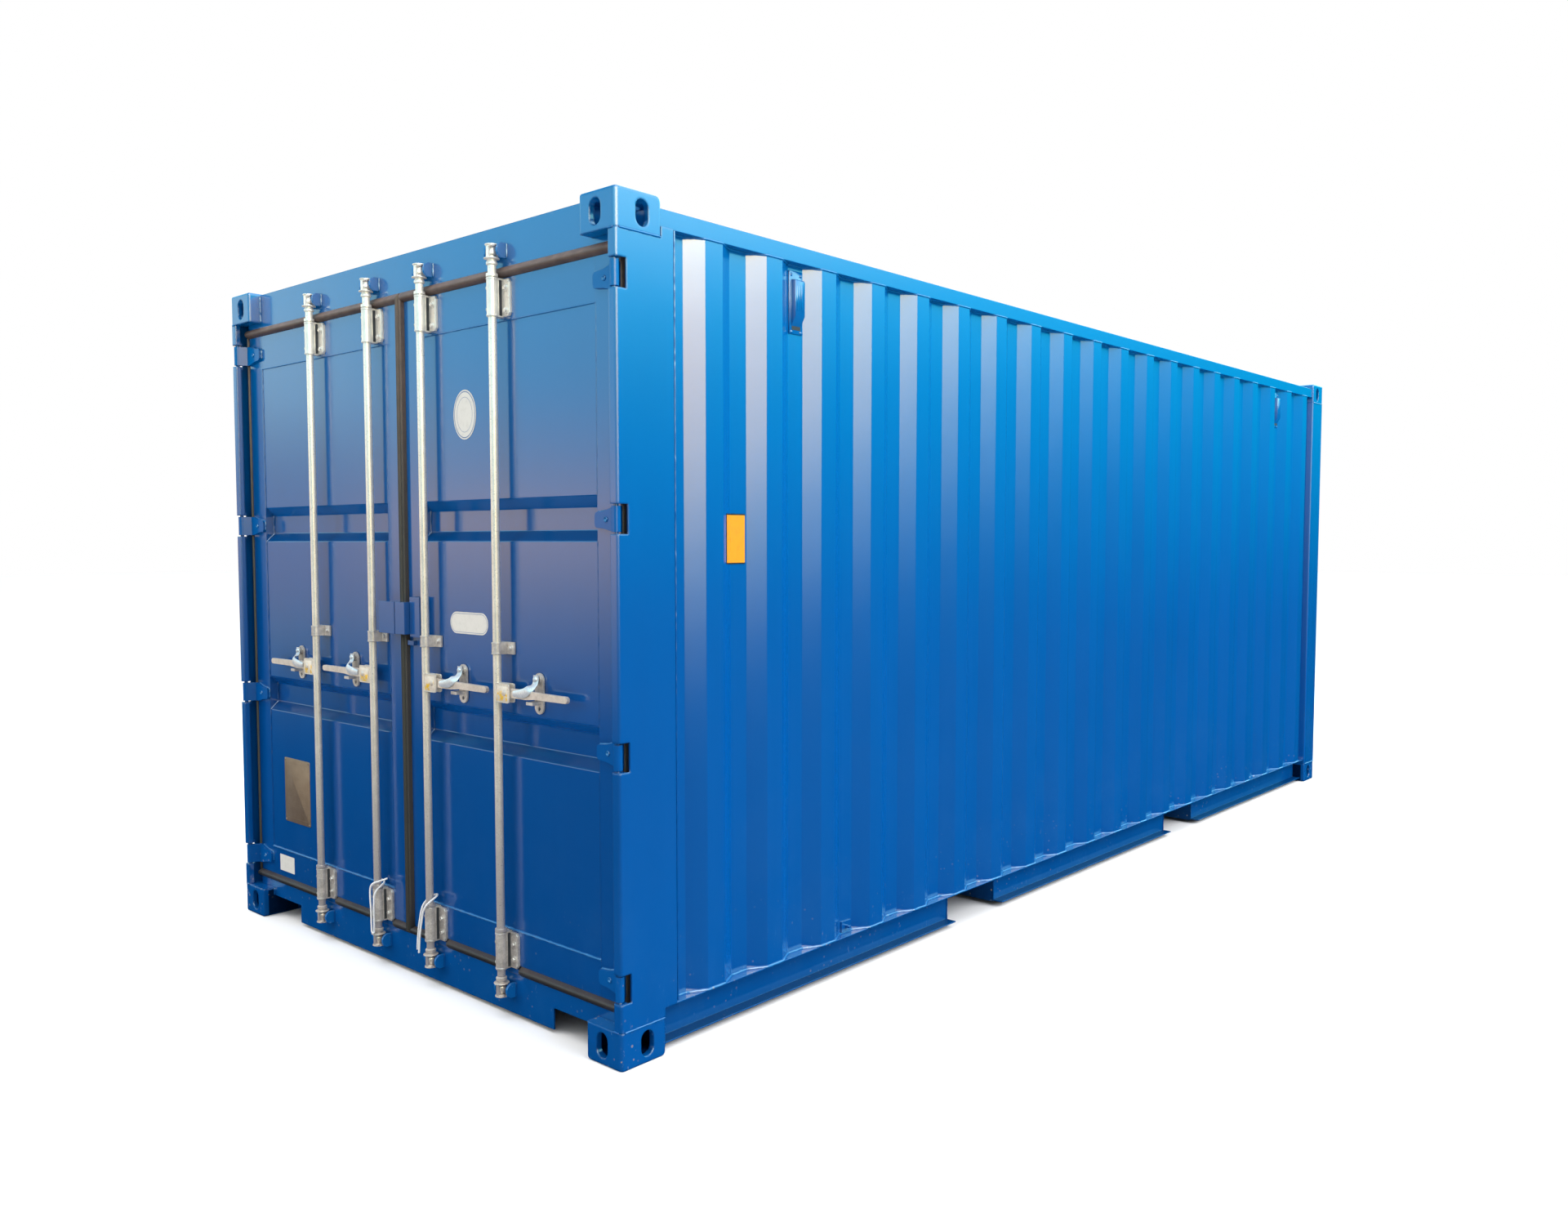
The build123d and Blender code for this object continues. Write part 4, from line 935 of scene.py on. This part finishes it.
# ------------------------------------------------------------------ lock gear fixings
for i, bx in enumerate(BAR_X):
    s = -1 if bx < 0 else 1
    side = "left" if bx < 0 else "right"
    body = f"{side}_door"
    bag = Bag()
    dark = Bag()
    for z0, z1 in SLEEVES:
        top = z0 > 1
        for zb in ((z1 - 0.032, z0 + 0.020) if top else (z1 - 0.042, z0 + 0.032)):
            bag.bolt((bx + 0.034, FACE - 0.008, zb), (0, -1, 0), 0.0085)
        for zb in (z1 - 0.012, (z0 + z1) / 2, z0 + 0.010):
            bag.rivet((bx + 0.0475, FACE - 0.0078, zb), (0, -1, 0), 0.0036)
        # raised rim of the plate
        y = FACE - 0.008
        ol = [(0.0125, z0 + 0.004), (0.047, z0 + 0.004), (0.053, z0 + 0.0125), (0.053, z1 - 0.0145),
              (0.047, z1 - 0.006), (0.0125, z1 - 0.006)]
        for (a, b), (c, d) in zip(ol[:-1], ol[1:]):
            bag.tube([(bx + a, y, b), (bx + c, y, d)], 0.0016, 6)
        # painted shadow: a thin dark block on the web's side face stands for the shaded gap between sleeve and plate
        dark.block(bx + 0.0138, bx + 0.0146, -2.9935, FACE - 0.0078, z0 + 0.005, z1 - 0.006)
        # collar lines at the ends of the sleeve and set screws on its left
        for zz in (z0 + 0.004, z1 - 0.004):
            bag.lathe((bx, BAR_Y, zz - 0.003), (0, 0, 1), [(0.0180, 0), (0.0192, 0.0012), (0.0192, 0.0048),
                                                          (0.0180, 0.006)], 28)
        for zb in (z1 - 0.033, z0 + 0.023):
            d = Vector((-0.80, -0.60, 0))
            c = Vector((bx, BAR_Y, zb)) + d * 0.0176
            bag.lathe(c, d, [(0.0062, 0), (0.0062, 0.0012), (0.0046, 0.0022), (0.0040, 0.0006)], 16)
            # painted shade: a dark disc in each set screw's socket
            dark.lathe(c + d * 0.0003, d, [(0.0041, 0), (0.0041, 0.0006)], 12)
    z0, z1 = 1.209, 1.249
    bag.bolt((bx + 0.036, FACE - 0.007, 1.229), (0, -1, 0), 0.0080)
    bag.rivet((bx - 0.0205, FACE - 0.007, 1.229), (0, -1, 0), 0.0030)
    for zz in (z0 + 0.003, z1 - 0.003):
        bag.lathe((bx, BAR_Y, zz - 0.0025), (0, 0, 1), [(0.0170, 0), (0.0181, 0.001), (0.0181, 0.004),
                                                       (0.0170, 0.005)], 28)
    # retainer: domed pivot of the catch and plate rivet
    rx = bx + s * 0.181
    bag.lathe((rx, -2.9888, HUB_Z + 0.051), (0, -1, 0), [(0.0088, 0), (0.0088, 0.0022)], 18)
    bag.rivet((rx, FACE - 0.006, HUB_Z + 0.004), (0, -1, 0), 0.0055)
    bag.build(f"bar_fixings_{i + 1}", ZINC, body, 40)
    dark.build(f"screw_socket_and_gap_shade_{i + 1}", DARK, body, 40)

    # catch over the handle: bent strap from the retainer's pivot, along the handle towards the hub
    def strap(path, width_at, thick=0.0032):
        bm = bmesh.new()
        rows = []
        path_v = [Vector(p) for p in path]
        fine = []
        for k in range(len(path_v) - 1):
            p0 = path_v[max(k - 1, 0)]
            p1, p2 = path_v[k], path_v[k + 1]
            p3 = path_v[min(k + 2, len(path_v) - 1)]
            for j in range(6):
                t = j / 6
                fine.append(0.5 * ((2 * p1) + (p2 - p0) * t + (2 * p0 - 5 * p1 + 4 * p2 - p3) * t * t
                                   + (3 * p1 - p0 - 3 * p2 + p3) * t ** 3))
        fine.append(path_v[-1])
        n = len(fine)
        for k, p in enumerate(fine):
            t = (fine[min(k + 1, n - 1)] - fine[max(k - 1, 0)]).normalized()
            out = Vector((0, -1, 0))
            out = (out - t * out.dot(t)).normalized()
            w = t.cross(out)
            hw = width_at(k / (n - 1)) / 2
            crown = 0.0016
            rows.append([bm.verts.new(p + w * a * hw + out * b) for a, b in (
                (-1, 0), (-1, thick * 0.6), (-0.85, thick), (-0.4, thick + crown), (0, thick + crown * 1.2),
                (0.4, thick + crown), (0.85, thick), (1, thick * 0.6), (1, 0))])
        for p, q in zip(rows[:-1], rows[1:]):
            m = len(p)
            for k in range(m):
                bm.faces.new((p[k], p[(k + 1) % m], q[(k + 1) % m], q[k]))
        bm.faces.new(rows[0][::-1])
        bm.faces.new(rows[-1])
        return bm

    bag = Bag()
    bag.bm.free()
    bag.bm = strap([(bx + s * 0.1815, -2.9915, HUB_Z + 0.064), (bx + s * 0.1815, -2.9920, HUB_Z + 0.048),
                    (bx + s * 0.1812, -2.9965, HUB_Z + 0.034), (bx + s * 0.1795, -3.0090, HUB_Z + 0.024),
                    (bx + s * 0.1720, -3.0175, HUB_Z + 0.0165), (bx + s * 0.1560, -3.0184, HUB_Z + 0.0080),
                    (bx + s * 0.1300, -3.0176, HUB_Z + 0.0030), (bx + s * 0.0960, -3.0168, HUB_Z + 0.0010)],
                   lambda t: 0.0265 + 0.003 * max(0.0, min(1.0, (t - 0.35) / 0.35)) - 0.012 * max(0, t - 0.82) / 0.18)
    bag.lathe((bx + s * 0.1815, -2.9945, HUB_Z + 0.051), (0, -1, 0), [(0.0098, 0), (0.0098, 0.002), (0.0078, 0.0048),
                                                                     (0.004, 0.0064), (0.0, 0.0068)], 20)
    bag.build(f"handle_catch_{i + 1}", ZINC_CATCH, f"handle_{i + 1}", 45)

    # hub: pivot pin heads and washer, and the weld to the bar
    bag = Bag()
    bag.lathe((bx + s * 0.054, BAR_Y - 0.013, HUB_Z), (0, -1, 0), [(0.0105, 0), (0.0105, 0.0015), (0.0085, 0.003),
                                                                (0.004, 0.0042), (0.0, 0.0044)], 20)
    bag.tube([(bx + s * 0.0125, BAR_Y - 0.0125, HUB_Z - 0.030 + 0.006 * k) for k in range(11)], 0.0026, 6, 0.2, i)
    for zz in (HUB_Z - 0.0315, HUB_Z + 0.0295):
        bag.tube([(bx + s * (0.012 + 0.006 * k), BAR_Y - 0.0128, zz) for k in range(11)], 0.0014, 5, 0.1, i + 7)
    face = Bag()
    ox, w_ = bx + s * 0.040, 0.058
    face.prism(stadium(w_, 0.048, 4, 0.006), (ox, BAR_Y - 0.0128, HUB_Z - 0.003), U, V, 0.0012, 0.0004)
    face.build(f"hub_face_{i + 1}", HUB_YELLOW, f"lock_bar_{i + 1}", 40)
    # castings of the two cams: rounded bosses round the bar
    for zc, up in ((2.518, 1), (0.079, -1)):
        bag.lathe((bx, BAR_Y, zc - up * 0.062), (0, 0, up), [(0.0137, 0), (0.0182, 0.003), (0.0182, 0.010),
                                                          (0.0150, 0.014)], 24)
        bag.lathe((bx, BAR_Y, zc - up * 0.044), (0, 0, up), [(0.0137, 0), (0.0250, 0.0020), (0.0256, 0.0034),
                                                          (0.0250, 0.0048), (0.0150, 0.0070)], 28)
        bag.lathe((bx, BAR_Y, zc + up * 0.0006), (0, 0, up), [(0.0120, 0), (0.0212, 0.0004), (0.0218, 0.0022),
                                                             (0.0212, 0.0040), (0.0090, 0.0046)], 28)
        za, zb = sorted((zc + up * 0.0045, zc - up * 0.0050))
        bag.block(bx - 0.010, bx + 0.0205, -3.0262, -3.0120, za, zb, 0.0025, 2)
        bag.lathe((bx, BAR_Y, zc - up * 0.030), (0, 0, up), [(0.0135, 0), (0.0148, 0.004), (0.0148, 0.010),
                                                           (0.0120, 0.016), (0.0110, 0.024)], 24)
    bag.build(f"bar_castings_{i + 1}", ZINC_HANDLE, f"lock_bar_{i + 1}", 40)

# ------------------------------------------------------------------ ventilators
bag = Bag()
dark = Bag()
for sx in (-1, 1):
    for vy in (-2.199, 2.298):
        x = sx * WALL_IN
        bag.block(x, x + sx * 0.005, vy - 0.034, vy + 0.034, 2.275, 2.486, 0.0018, 2)
        # hood, open below
        prof = [(0.0, 2.456), (0.0165, 2.454), (0.020, 2.450), (0.020, 2.334)]
        for a, b in (((vy - 0.024), (vy + 0.024)),):
            ol = [(p[0] + 0.004, p[1]) for p in prof] + [(0.004, 2.300)]
            u = Vector((sx, 0, 0))
            bag.prism([(p, z) for p, z in ol], (x, a if sx < 0 else b, 0), u, (0, 0, 1), abs(b - a), 0.0012)
        # painted shade: a dark block in the mouth under each hood
        dark.block(x + sx * 0.0045, x + sx * 0.0056, vy - 0.022, vy + 0.022, 2.289, 2.302)
        for zz in (2.472, 2.282):
            for dy in (-0.024, 0.024):
                bag.rivet((x + sx * 0.005, vy + dy, zz), (sx, 0, 0), 0.0052)
        for dy in (-0.011, 0.0, 0.011):
            bag.block(x + sx * 0.0225, x + sx * 0.0248, vy + dy - 0.0035, vy + dy + 0.0035, 2.350, 2.436, 0.001, 1)
ob = bag.build("vent_hoods", BLUE, "container", 40)
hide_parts("ventilators")
dark.build("vent_mouth_shade", DARK, "container", 40)


# ------------------------------------------------------------------ plates and foils, all blank
bag = Bag()
bag.prism(stadium(0.208, 0.266, 4, 0.006), (-0.849, PANEL_Y + 0.0006, 0.553), U, V, 0.0030, 0.0008)
for dx in (-0.0965, 0.0965):
    for dz in (-0.1255, 0.1255):
        bag.rivet((-0.849 + dx, PANEL_Y - 0.0024, 0.553 + dz), (0, -1, 0), 0.0042)
ob = bag.build("data_plate", BRONZE, "left_door", 40)
bag = Bag()
for zz, h in ((0.640, 0.052), (0.583, 0.046), (0.524, 0.056), (0.463, 0.050)):
    w = 0.176
    for a, b, c, d in ((-w / 2, w / 2, -h / 2, -h / 2), (-w / 2, w / 2, h / 2, h / 2), (-w / 2, -w / 2, -h / 2, h / 2),
                       (w / 2, w / 2, -h / 2, h / 2)):
        bag.tube([(-0.849 + a, PANEL_Y - 0.0024, zz + c), (-0.849 + b, PANEL_Y - 0.0024, zz + d)], 0.0007, 4)
bag.build("data_plate_fields", BRONZE, "left_door", 60)

bag = Bag()
bag.prism(stadium(0.122, 0.068, 3, 0.002), (-0.949, FACE + 0.0004, 0.236), U, V, 0.0010)
bag.build("blank_label", WHITE, "left_door", 40)
bag = Bag()
bag.prism(oval(0.130, 0.166), (0.379, PANEL_Y + 0.0006, 2.001), U, V, 0.0016)
bag.prism(stadium(0.220, 0.074, 10), (0.386, PANEL_Y + 0.0006, 1.299), U, V, 0.0016)
bag.build("blank_foils", WHITE, "right_door", 40)


def ring_strip(bag, outline_out, outline_in, origin, depth):
    o = Vector(origin)
    n = len(outline_out)
    a = [bag.bm.verts.new(o + Vector((p[0], -depth, p[1]))) for p in outline_out]
    b = [bag.bm.verts.new(o + Vector((p[0], -depth, p[1]))) for p in outline_in]
    for i in range(n):
        bag.bm.faces.new((a[i], a[(i + 1) % n], b[(i + 1) % n], b[i]))


bag = Bag()
ring_strip(bag, oval(0.122, 0.157), oval(0.116, 0.150), (0.379, PANEL_Y + 0.0006, 2.001), 0.0018)
ring_strip(bag, oval(0.090, 0.118), oval(0.087, 0.115), (0.379, PANEL_Y + 0.0006, 2.001), 0.0018)
ring_strip(bag, stadium(0.211, 0.065, 10), stadium(0.208, 0.062, 10), (0.386, PANEL_Y + 0.0006, 1.299), 0.0018)
bag.build("foil_rings", WHITE_INK, "right_door", 40)


def wall_foil(name, y0, y1, z0, z1, lift, mat, hole=None):
    """Foil that follows the bends of the side wall, with an optional window (m in from each edge)."""
    prof = []
    for (a, b, na, nb), (a2, b2, na2, nb2) in zip(WALL_PROF[:-1], WALL_PROF[1:]):
        k = max(1, int(abs(b2 - b) / 0.004))
        for j in range(k):
            t = j / k
            prof.append((a + (a2 - a) * t, b + (b2 - b) * t, na + (na2 - na) * t, nb + (nb2 - nb) * t))
    sel = [p for p in prof if y0 <= p[1] <= y1]
    bm = bmesh.new()
    zs = [z0 + (z1 - z0) * i / 40 for i in range(41)]
    grid = [[bm.verts.new((a - na * lift, b - nb * lift, z)) for a, b, na, nb in sel] for z in zs]
    for j in range(len(zs) - 1):
        for i in range(len(sel) - 1):
            yc, zc = (sel[i][1] + sel[i + 1][1]) / 2, (zs[j] + zs[j + 1]) / 2
            if hole and y0 + hole < yc < y1 - hole and z0 + hole < zc < z1 - hole:
                continue
            bm.faces.new((grid[j][i], grid[j][i + 1], grid[j + 1][i + 1], grid[j + 1][i]))
    me = bpy.data.meshes.new(name)
    bm.to_mesh(me)
    bm.free()
    for p in me.polygons:
        p.use_smooth = True
    ob = bpy.data.objects.new(name, me)
    scene.collection.objects.link(ob)
    me.materials.append(mat)
    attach(ob, "container")
    return ob


wall_foil("height_foil", -2.556, -2.446, 1.503, 1.665, 0.0016, YELLOW)
wall_foil("height_foil_border", -2.556, -2.446, 1.503, 1.665, 0.0020, BLACK, 0.0045)

# ------------------------------------------------------------------ welds and small fittings of the frame
bag = Bag()
for sx in (-1, 1):
    # under the top fitting and over the bottom one, on the end face and the side
    for zz, seed in ((2.473, 1), (0.118, 2)):
        bag.weld((sx * (HW - 0.034), -HL - 0.0003, zz), (sx * (HW - 0.012), -HL - 0.0003, zz), 0.0034, 0.006, seed)
        bag.weld((sx * (HW + 0.0002), -HL + 0.014, zz), (sx * (HW + 0.0002), -2.855, zz), 0.0034, 0.006, seed + 3)
        bag.weld((sx * (HW - 0.160), HL + 0.0003, zz), (sx * (HW - 0.012), HL + 0.0003, zz), 0.0034, 0.006, seed + 5)
        bag.weld((sx * (HW + 0.0002), 2.855, zz), (sx * (HW + 0.0002), HL - 0.014, zz), 0.0034, 0.006, seed + 4)
    # header and sill to the fittings
    bag.weld((sx * 1.057, -2.981, 2.474), (sx * 1.057, -2.981, 2.580), 0.004, 0.007, 8)
    bag.weld((sx * 1.057, -2.981, 0.088), (sx * 1.057, -2.981, 0.117), 0.004, 0.007, 9)
    # post edge on the side wall
    bag.weld((sx * 1.2165, -2.7965, 0.156), (sx * 1.2165, -2.7965, 2.502), 0.0030, 0.010, 10)
    # rail to post and rail to bottom fitting
    bag.weld((sx * 1.2115, -2.851, 0.024), (sx * 1.2115, -2.851, 0.116), 0.0034, 0.007, 11)
    # lower rail: weld of the web on the flange, and the pocket frames
    for py in (-1.035, 1.035):
        for e in (-0.18, 0.18):
            bag.weld((sx * 1.149, py + e, 0.026), (sx * 1.149, py + e, 0.140), 0.003, 0.008, 12)
# keepers to header and sill
for bx in BAR_X:
    for zc in (0.096, 2.502):
        for s in (-1, 1):
            bag.weld((bx + s * 0.0385, -2.980, zc - 0.022), (bx + s * 0.0385, -2.980, zc + 0.022), 0.0034, 0.006, 13)
bag.build("frame_welds", BLUE_SILL, "container", 80)

# hinge pin heads on the lugs
for sx, side in ((-1, "left"), (1, "right")):
    bag = Bag()
    for zc in HINGE_Z:
        for up in (-1, 1):
            z = zc + up * (KNUCKLE + 0.018)
            bag.lathe((sx * 1.197, -3.015, z), (0, 0, up), [(0.0095, 0), (0.0095, 0.002), (0.007, 0.004), (0.0, 0.0045)], 16)
    bag.build(f"hinge_pin_heads_{side}", BLUE, "container", 40)

# screws in the floor boards, in rows over the cross members
bag = Bag()
for y in [-2.68, -2.40, -2.12, -1.84, -1.56, -1.285, -0.54, -0.26, 0.02, 0.30, 0.58, 1.325, 1.60, 1.88, 2.16, 2.44, 2.72]:
    for k in range(9):
        x = -1.08 + 2.16 * k / 8
        bag.lathe((x, y, 0.165), (0, 0, 1), [(0.007, -0.0005), (0.007, 0.0003), (0.0035, 0.0002), (0.0, -0.0002)], 10)
bag.build("floor_screws", ZINC, "container", 40)

# ------------------------------------------------------------------ floor, lights, world
fm = Mat("pale_floor")
ray = fm.t.nodes.new("ShaderNodeLightPath")
fm.set("Base Color", fm.mix(ray.outputs["Is Diffuse Ray"], fm.mix(fm.noise(0.6, 3), (0.86, 0.86, 0.86), (0.89, 0.89, 0.89)),
                            (0.55, 0.55, 0.55)))
fm.b.inputs["Roughness"].default_value = 0.8
me = bpy.data.meshes.new("floor")
S = 60.0
me.from_pydata([(-S, -S, 0), (S, -S, 0), (S, S, 0), (-S, S, 0)], [], [(0, 1, 2, 3)])
floor = bpy.data.objects.new("floor", me)
scene.collection.objects.link(floor)
me.materials.append(fm.m)
floor.visible_glossy = False


def area(name, loc, target, size, size_y, power, color):
    li = bpy.data.lights.new(name, "AREA")
    li.shape = "RECTANGLE"
    li.size, li.size_y = size, size_y
    li.energy = power
    li.color = color
    ob = bpy.data.objects.new(name, li)
    scene.collection.objects.link(ob)
    ob.location = loc
    ob.rotation_euler = (Vector(target) - Vector(loc)).to_track_quat("-Z", "Y").to_euler()
    return ob


for light in (
        area("key_left", (-7.0, -10.5, 4.4), (0, -3.0, 1.2), 4.0, 3.0, 420, (1.0, 0.96, 0.92)),
        area("soft_side", (9.6, 1.2, 6.4), (1.2, -0.6, 1.2), 12.0, 6.0, 1420, (1.0, 1.0, 1.0)),
        area("soft_top", (0.0, -2.0, 12.0), (0.0, -2.0, 0.0), 16.0, 16.0, 1500, (1.0, 1.0, 1.0))):
    light.visible_glossy = False

# The surroundings: white for the backdrop, an even grey dome for soft light, and for the sheen of paint and
# metal a graded sky, warm near the horizon and brightest to the right of the doors.
world = bpy.data.worlds.new("studio")
scene.world = world
world.use_nodes = True
wt = world.node_tree
wt.nodes.clear()


def wnode(kind, **inputs):
    n = wt.nodes.new(kind)
    return n


def wput(socket, value):
    if isinstance(value, bpy.types.NodeSocket):
        wt.links.new(value, socket)
    else:
        socket.default_value = value


def wmath(op, a, b=0.0, clamp=False):
    n = wt.nodes.new("ShaderNodeMath")
    n.operation = op
    n.use_clamp = clamp
    wput(n.inputs[0], a)
    wput(n.inputs[1], b)
    return n.outputs[0]


def wgrade(value, stops, top):
    """Colour by value through (value, (r, g, b)) stops, colours up to top."""
    lo, hi = stops[0][0], stops[-1][0]
    t = wmath("DIVIDE", wmath("SUBTRACT", value, lo), hi - lo, True)
    n = wt.nodes.new("ShaderNodeValToRGB")
    wput(n.inputs[0], t)
    el = n.color_ramp.elements
    while len(el) < len(stops):
        el.new(0.5)
    for e, (p, c) in zip(el, stops):
        e.position = (p - lo) / (hi - lo)
        e.color = (c[0] / top, c[1] / top, c[2] / top, 1)
    return n.outputs[0]


def wmix(fac, a, b):
    n = wt.nodes.new("ShaderNodeMix")
    n.data_type = "RGBA"
    wput(n.inputs[0], fac)
    wput(n.inputs[6], a)
    wput(n.inputs[7], b)
    return n.outputs[2]


def wstep(value, a, b):
    n = wt.nodes.new("ShaderNodeMapRange")
    n.interpolation_type = "SMOOTHSTEP"
    wput(n.inputs[0], value)
    n.inputs[1].default_value, n.inputs[2].default_value = min(a, b), max(a, b)
    n.inputs[3].default_value, n.inputs[4].default_value = (0.0, 1.0) if a < b else (1.0, 0.0)
    return n.outputs[0]


tc = wt.nodes.new("ShaderNodeTexCoord")
sep = wt.nodes.new("ShaderNodeSeparateXYZ")
wt.links.new(tc.outputs["Generated"], sep.inputs[0])
dx, dy, dz = sep.outputs
turn = wmath("MULTIPLY", wmath("ARCTAN2", dy, dx), 180 / math.pi)
SKY_TOP = 11.0
side_sky = wgrade(dz, [(-0.25, (0, 0, 0)), (-0.05, (0.0, 0.10, 0.15)), (0.05, (0.0, 0.40, 0.55)),
                       (0.13, (0.0, 0.72, 0.86)), (0.20, (0.10, 1.7, 2.0)), (0.30, (2.0, 4.4, 4.3)),
                       (0.6, (1.6, 2.8, 3.2)), (1.0, (1.4, 2.2, 2.8))], SKY_TOP)
door_sky = wgrade(dz, [(-0.25, (0, 0, 0)), (-0.15, (0.0, 0.03, 0.06)), (-0.09, (0.44, 0.40, 0.26)),
                       (-0.04, (1.0, 0.76, 0.38)), (0.0, (1.62, 1.12, 0.50)), (0.02, (1.80, 1.22, 0.60)),
                       (0.05, (1.16, 1.06, 0.82)), (0.13, (0.55, 1.14, 1.35)), (0.30, (0.45, 1.36, 1.66)),
                       (0.48, (0.12, 0.62, 0.90)), (0.75, (0.06, 0.42, 0.66)), (1.0, (0.4, 0.9, 1.2))], SKY_TOP)
door_end = wgrade(dz, [(-0.25, (0, 0, 0)), (-0.15, (0.0, 0.03, 0.06)), (-0.105, (0.11, 0.20, 0.18)),
                       (-0.072, (0.39, 0.46, 0.28)), (-0.04, (0.55, 0.46, 0.28)), (-0.01, (0.62, 0.48, 0.33)),
                       (0.05, (0.54, 0.56, 0.46)), (0.082, (0.74, 0.92, 0.80)), (0.113, (0.95, 1.36, 1.32)),
                       (0.144, (0.98, 1.40, 1.34)), (0.18, (0.85, 1.40, 1.40)), (0.30, (0.6, 1.36, 1.5)), (0.48, (0.12, 0.62, 0.90)),
                       (0.75, (0.06, 0.42, 0.66)), (1.0, (0.4, 0.9, 1.2))], SKY_TOP)
door_glow = wgrade(dz, [(-0.12, (0, 0, 0)), (-0.02, (0.30, 0.22, 0.08)), (0.10, (0.95, 0.62, 0.15)),
                        (0.35, (0.9, 0.65, 0.25)), (0.8, (0, 0, 0))], SKY_TOP)
lowering = wmath("MULTIPLY", wmath("MAXIMUM", wmath("ADD", turn, 14.0), 0.0), 0.010)
glow = wgrade(wmath("SUBTRACT", dz, lowering),
              [(-0.16, (0, 0, 0)), (-0.12, (0.10, 0.14, 0.10)), (-0.024, (1.5, 1.5, 0.9)), (0.05, (4.2, 3.1, 1.2)),
               (0.12, (5.8, 3.7, 1.1)), (0.18, (7.0, 4.0, 1.1)), (0.24, (11.0, 8.0, 4.5)), (0.5, (6.0, 5.5, 4.6)),
               (0.9, (0, 0, 0))], SKY_TOP)
window = wmath("MULTIPLY", wstep(turn, -60.0, -22.0), wstep(turn, 34.0, -14.0))
door_all = wmix(wstep(turn, -147.5, -152.0), door_sky, door_end)
sky = wmix(wmath("MULTIPLY", wstep(turn, -120.0, -60.0), wstep(turn, 150.0, 118.0)), door_all, side_sky)
bright = wt.nodes.new("ShaderNodeVectorMath")
bright.operation = "SCALE"
wput(bright.inputs[0], glow)
wput(bright.inputs["Scale"], window)
far = wt.nodes.new("ShaderNodeVectorMath")
far.operation = "SCALE"
wput(far.inputs[0], door_glow)
wput(far.inputs["Scale"], wmath("MULTIPLY", wmath("MULTIPLY", wstep(turn, -141.0, -156.0), wstep(turn, -90.0, -100.0)), 0.16))
some = wt.nodes.new("ShaderNodeVectorMath")
some.operation = "ADD"
wput(some.inputs[0], sky)
wput(some.inputs[1], bright.outputs[0])
both = wt.nodes.new("ShaderNodeVectorMath")
both.operation = "ADD"
wput(both.inputs[0], some.outputs[0])
wput(both.inputs[1], far.outputs[0])
dome = wgrade(dz, [(-1.0, (0.25, 0.25, 0.26)), (-0.02, (0.30, 0.30, 0.31)), (0.05, (0.34, 0.34, 0.35)),
                   (0.4, (0.66, 0.66, 0.67)), (1.0, (1.7, 1.7, 1.7))], 2.0)

gloss_bg = wt.nodes.new("ShaderNodeBackground")
wput(gloss_bg.inputs[0], both.outputs[0])
gloss_bg.inputs[1].default_value = SKY_TOP
dome_bg = wt.nodes.new("ShaderNodeBackground")
wput(dome_bg.inputs[0], dome)
dome_bg.inputs[1].default_value = 2.0
back_bg = wt.nodes.new("ShaderNodeBackground")
back_bg.inputs[0].default_value = (1.0, 1.0, 1.0, 1.0)
path = wt.nodes.new("ShaderNodeLightPath")
first = wt.nodes.new("ShaderNodeMixShader")
wt.links.new(path.outputs["Is Glossy Ray"], first.inputs[0])
wt.links.new(dome_bg.outputs[0], first.inputs[1])
wt.links.new(gloss_bg.outputs[0], first.inputs[2])
second = wt.nodes.new("ShaderNodeMixShader")
wt.links.new(path.outputs["Is Camera Ray"], second.inputs[0])
wt.links.new(first.outputs[0], second.inputs[1])
wt.links.new(back_bg.outputs[0], second.inputs[2])
world_out = wt.nodes.new("ShaderNodeOutputWorld")
wt.links.new(second.outputs[0], world_out.inputs[0])
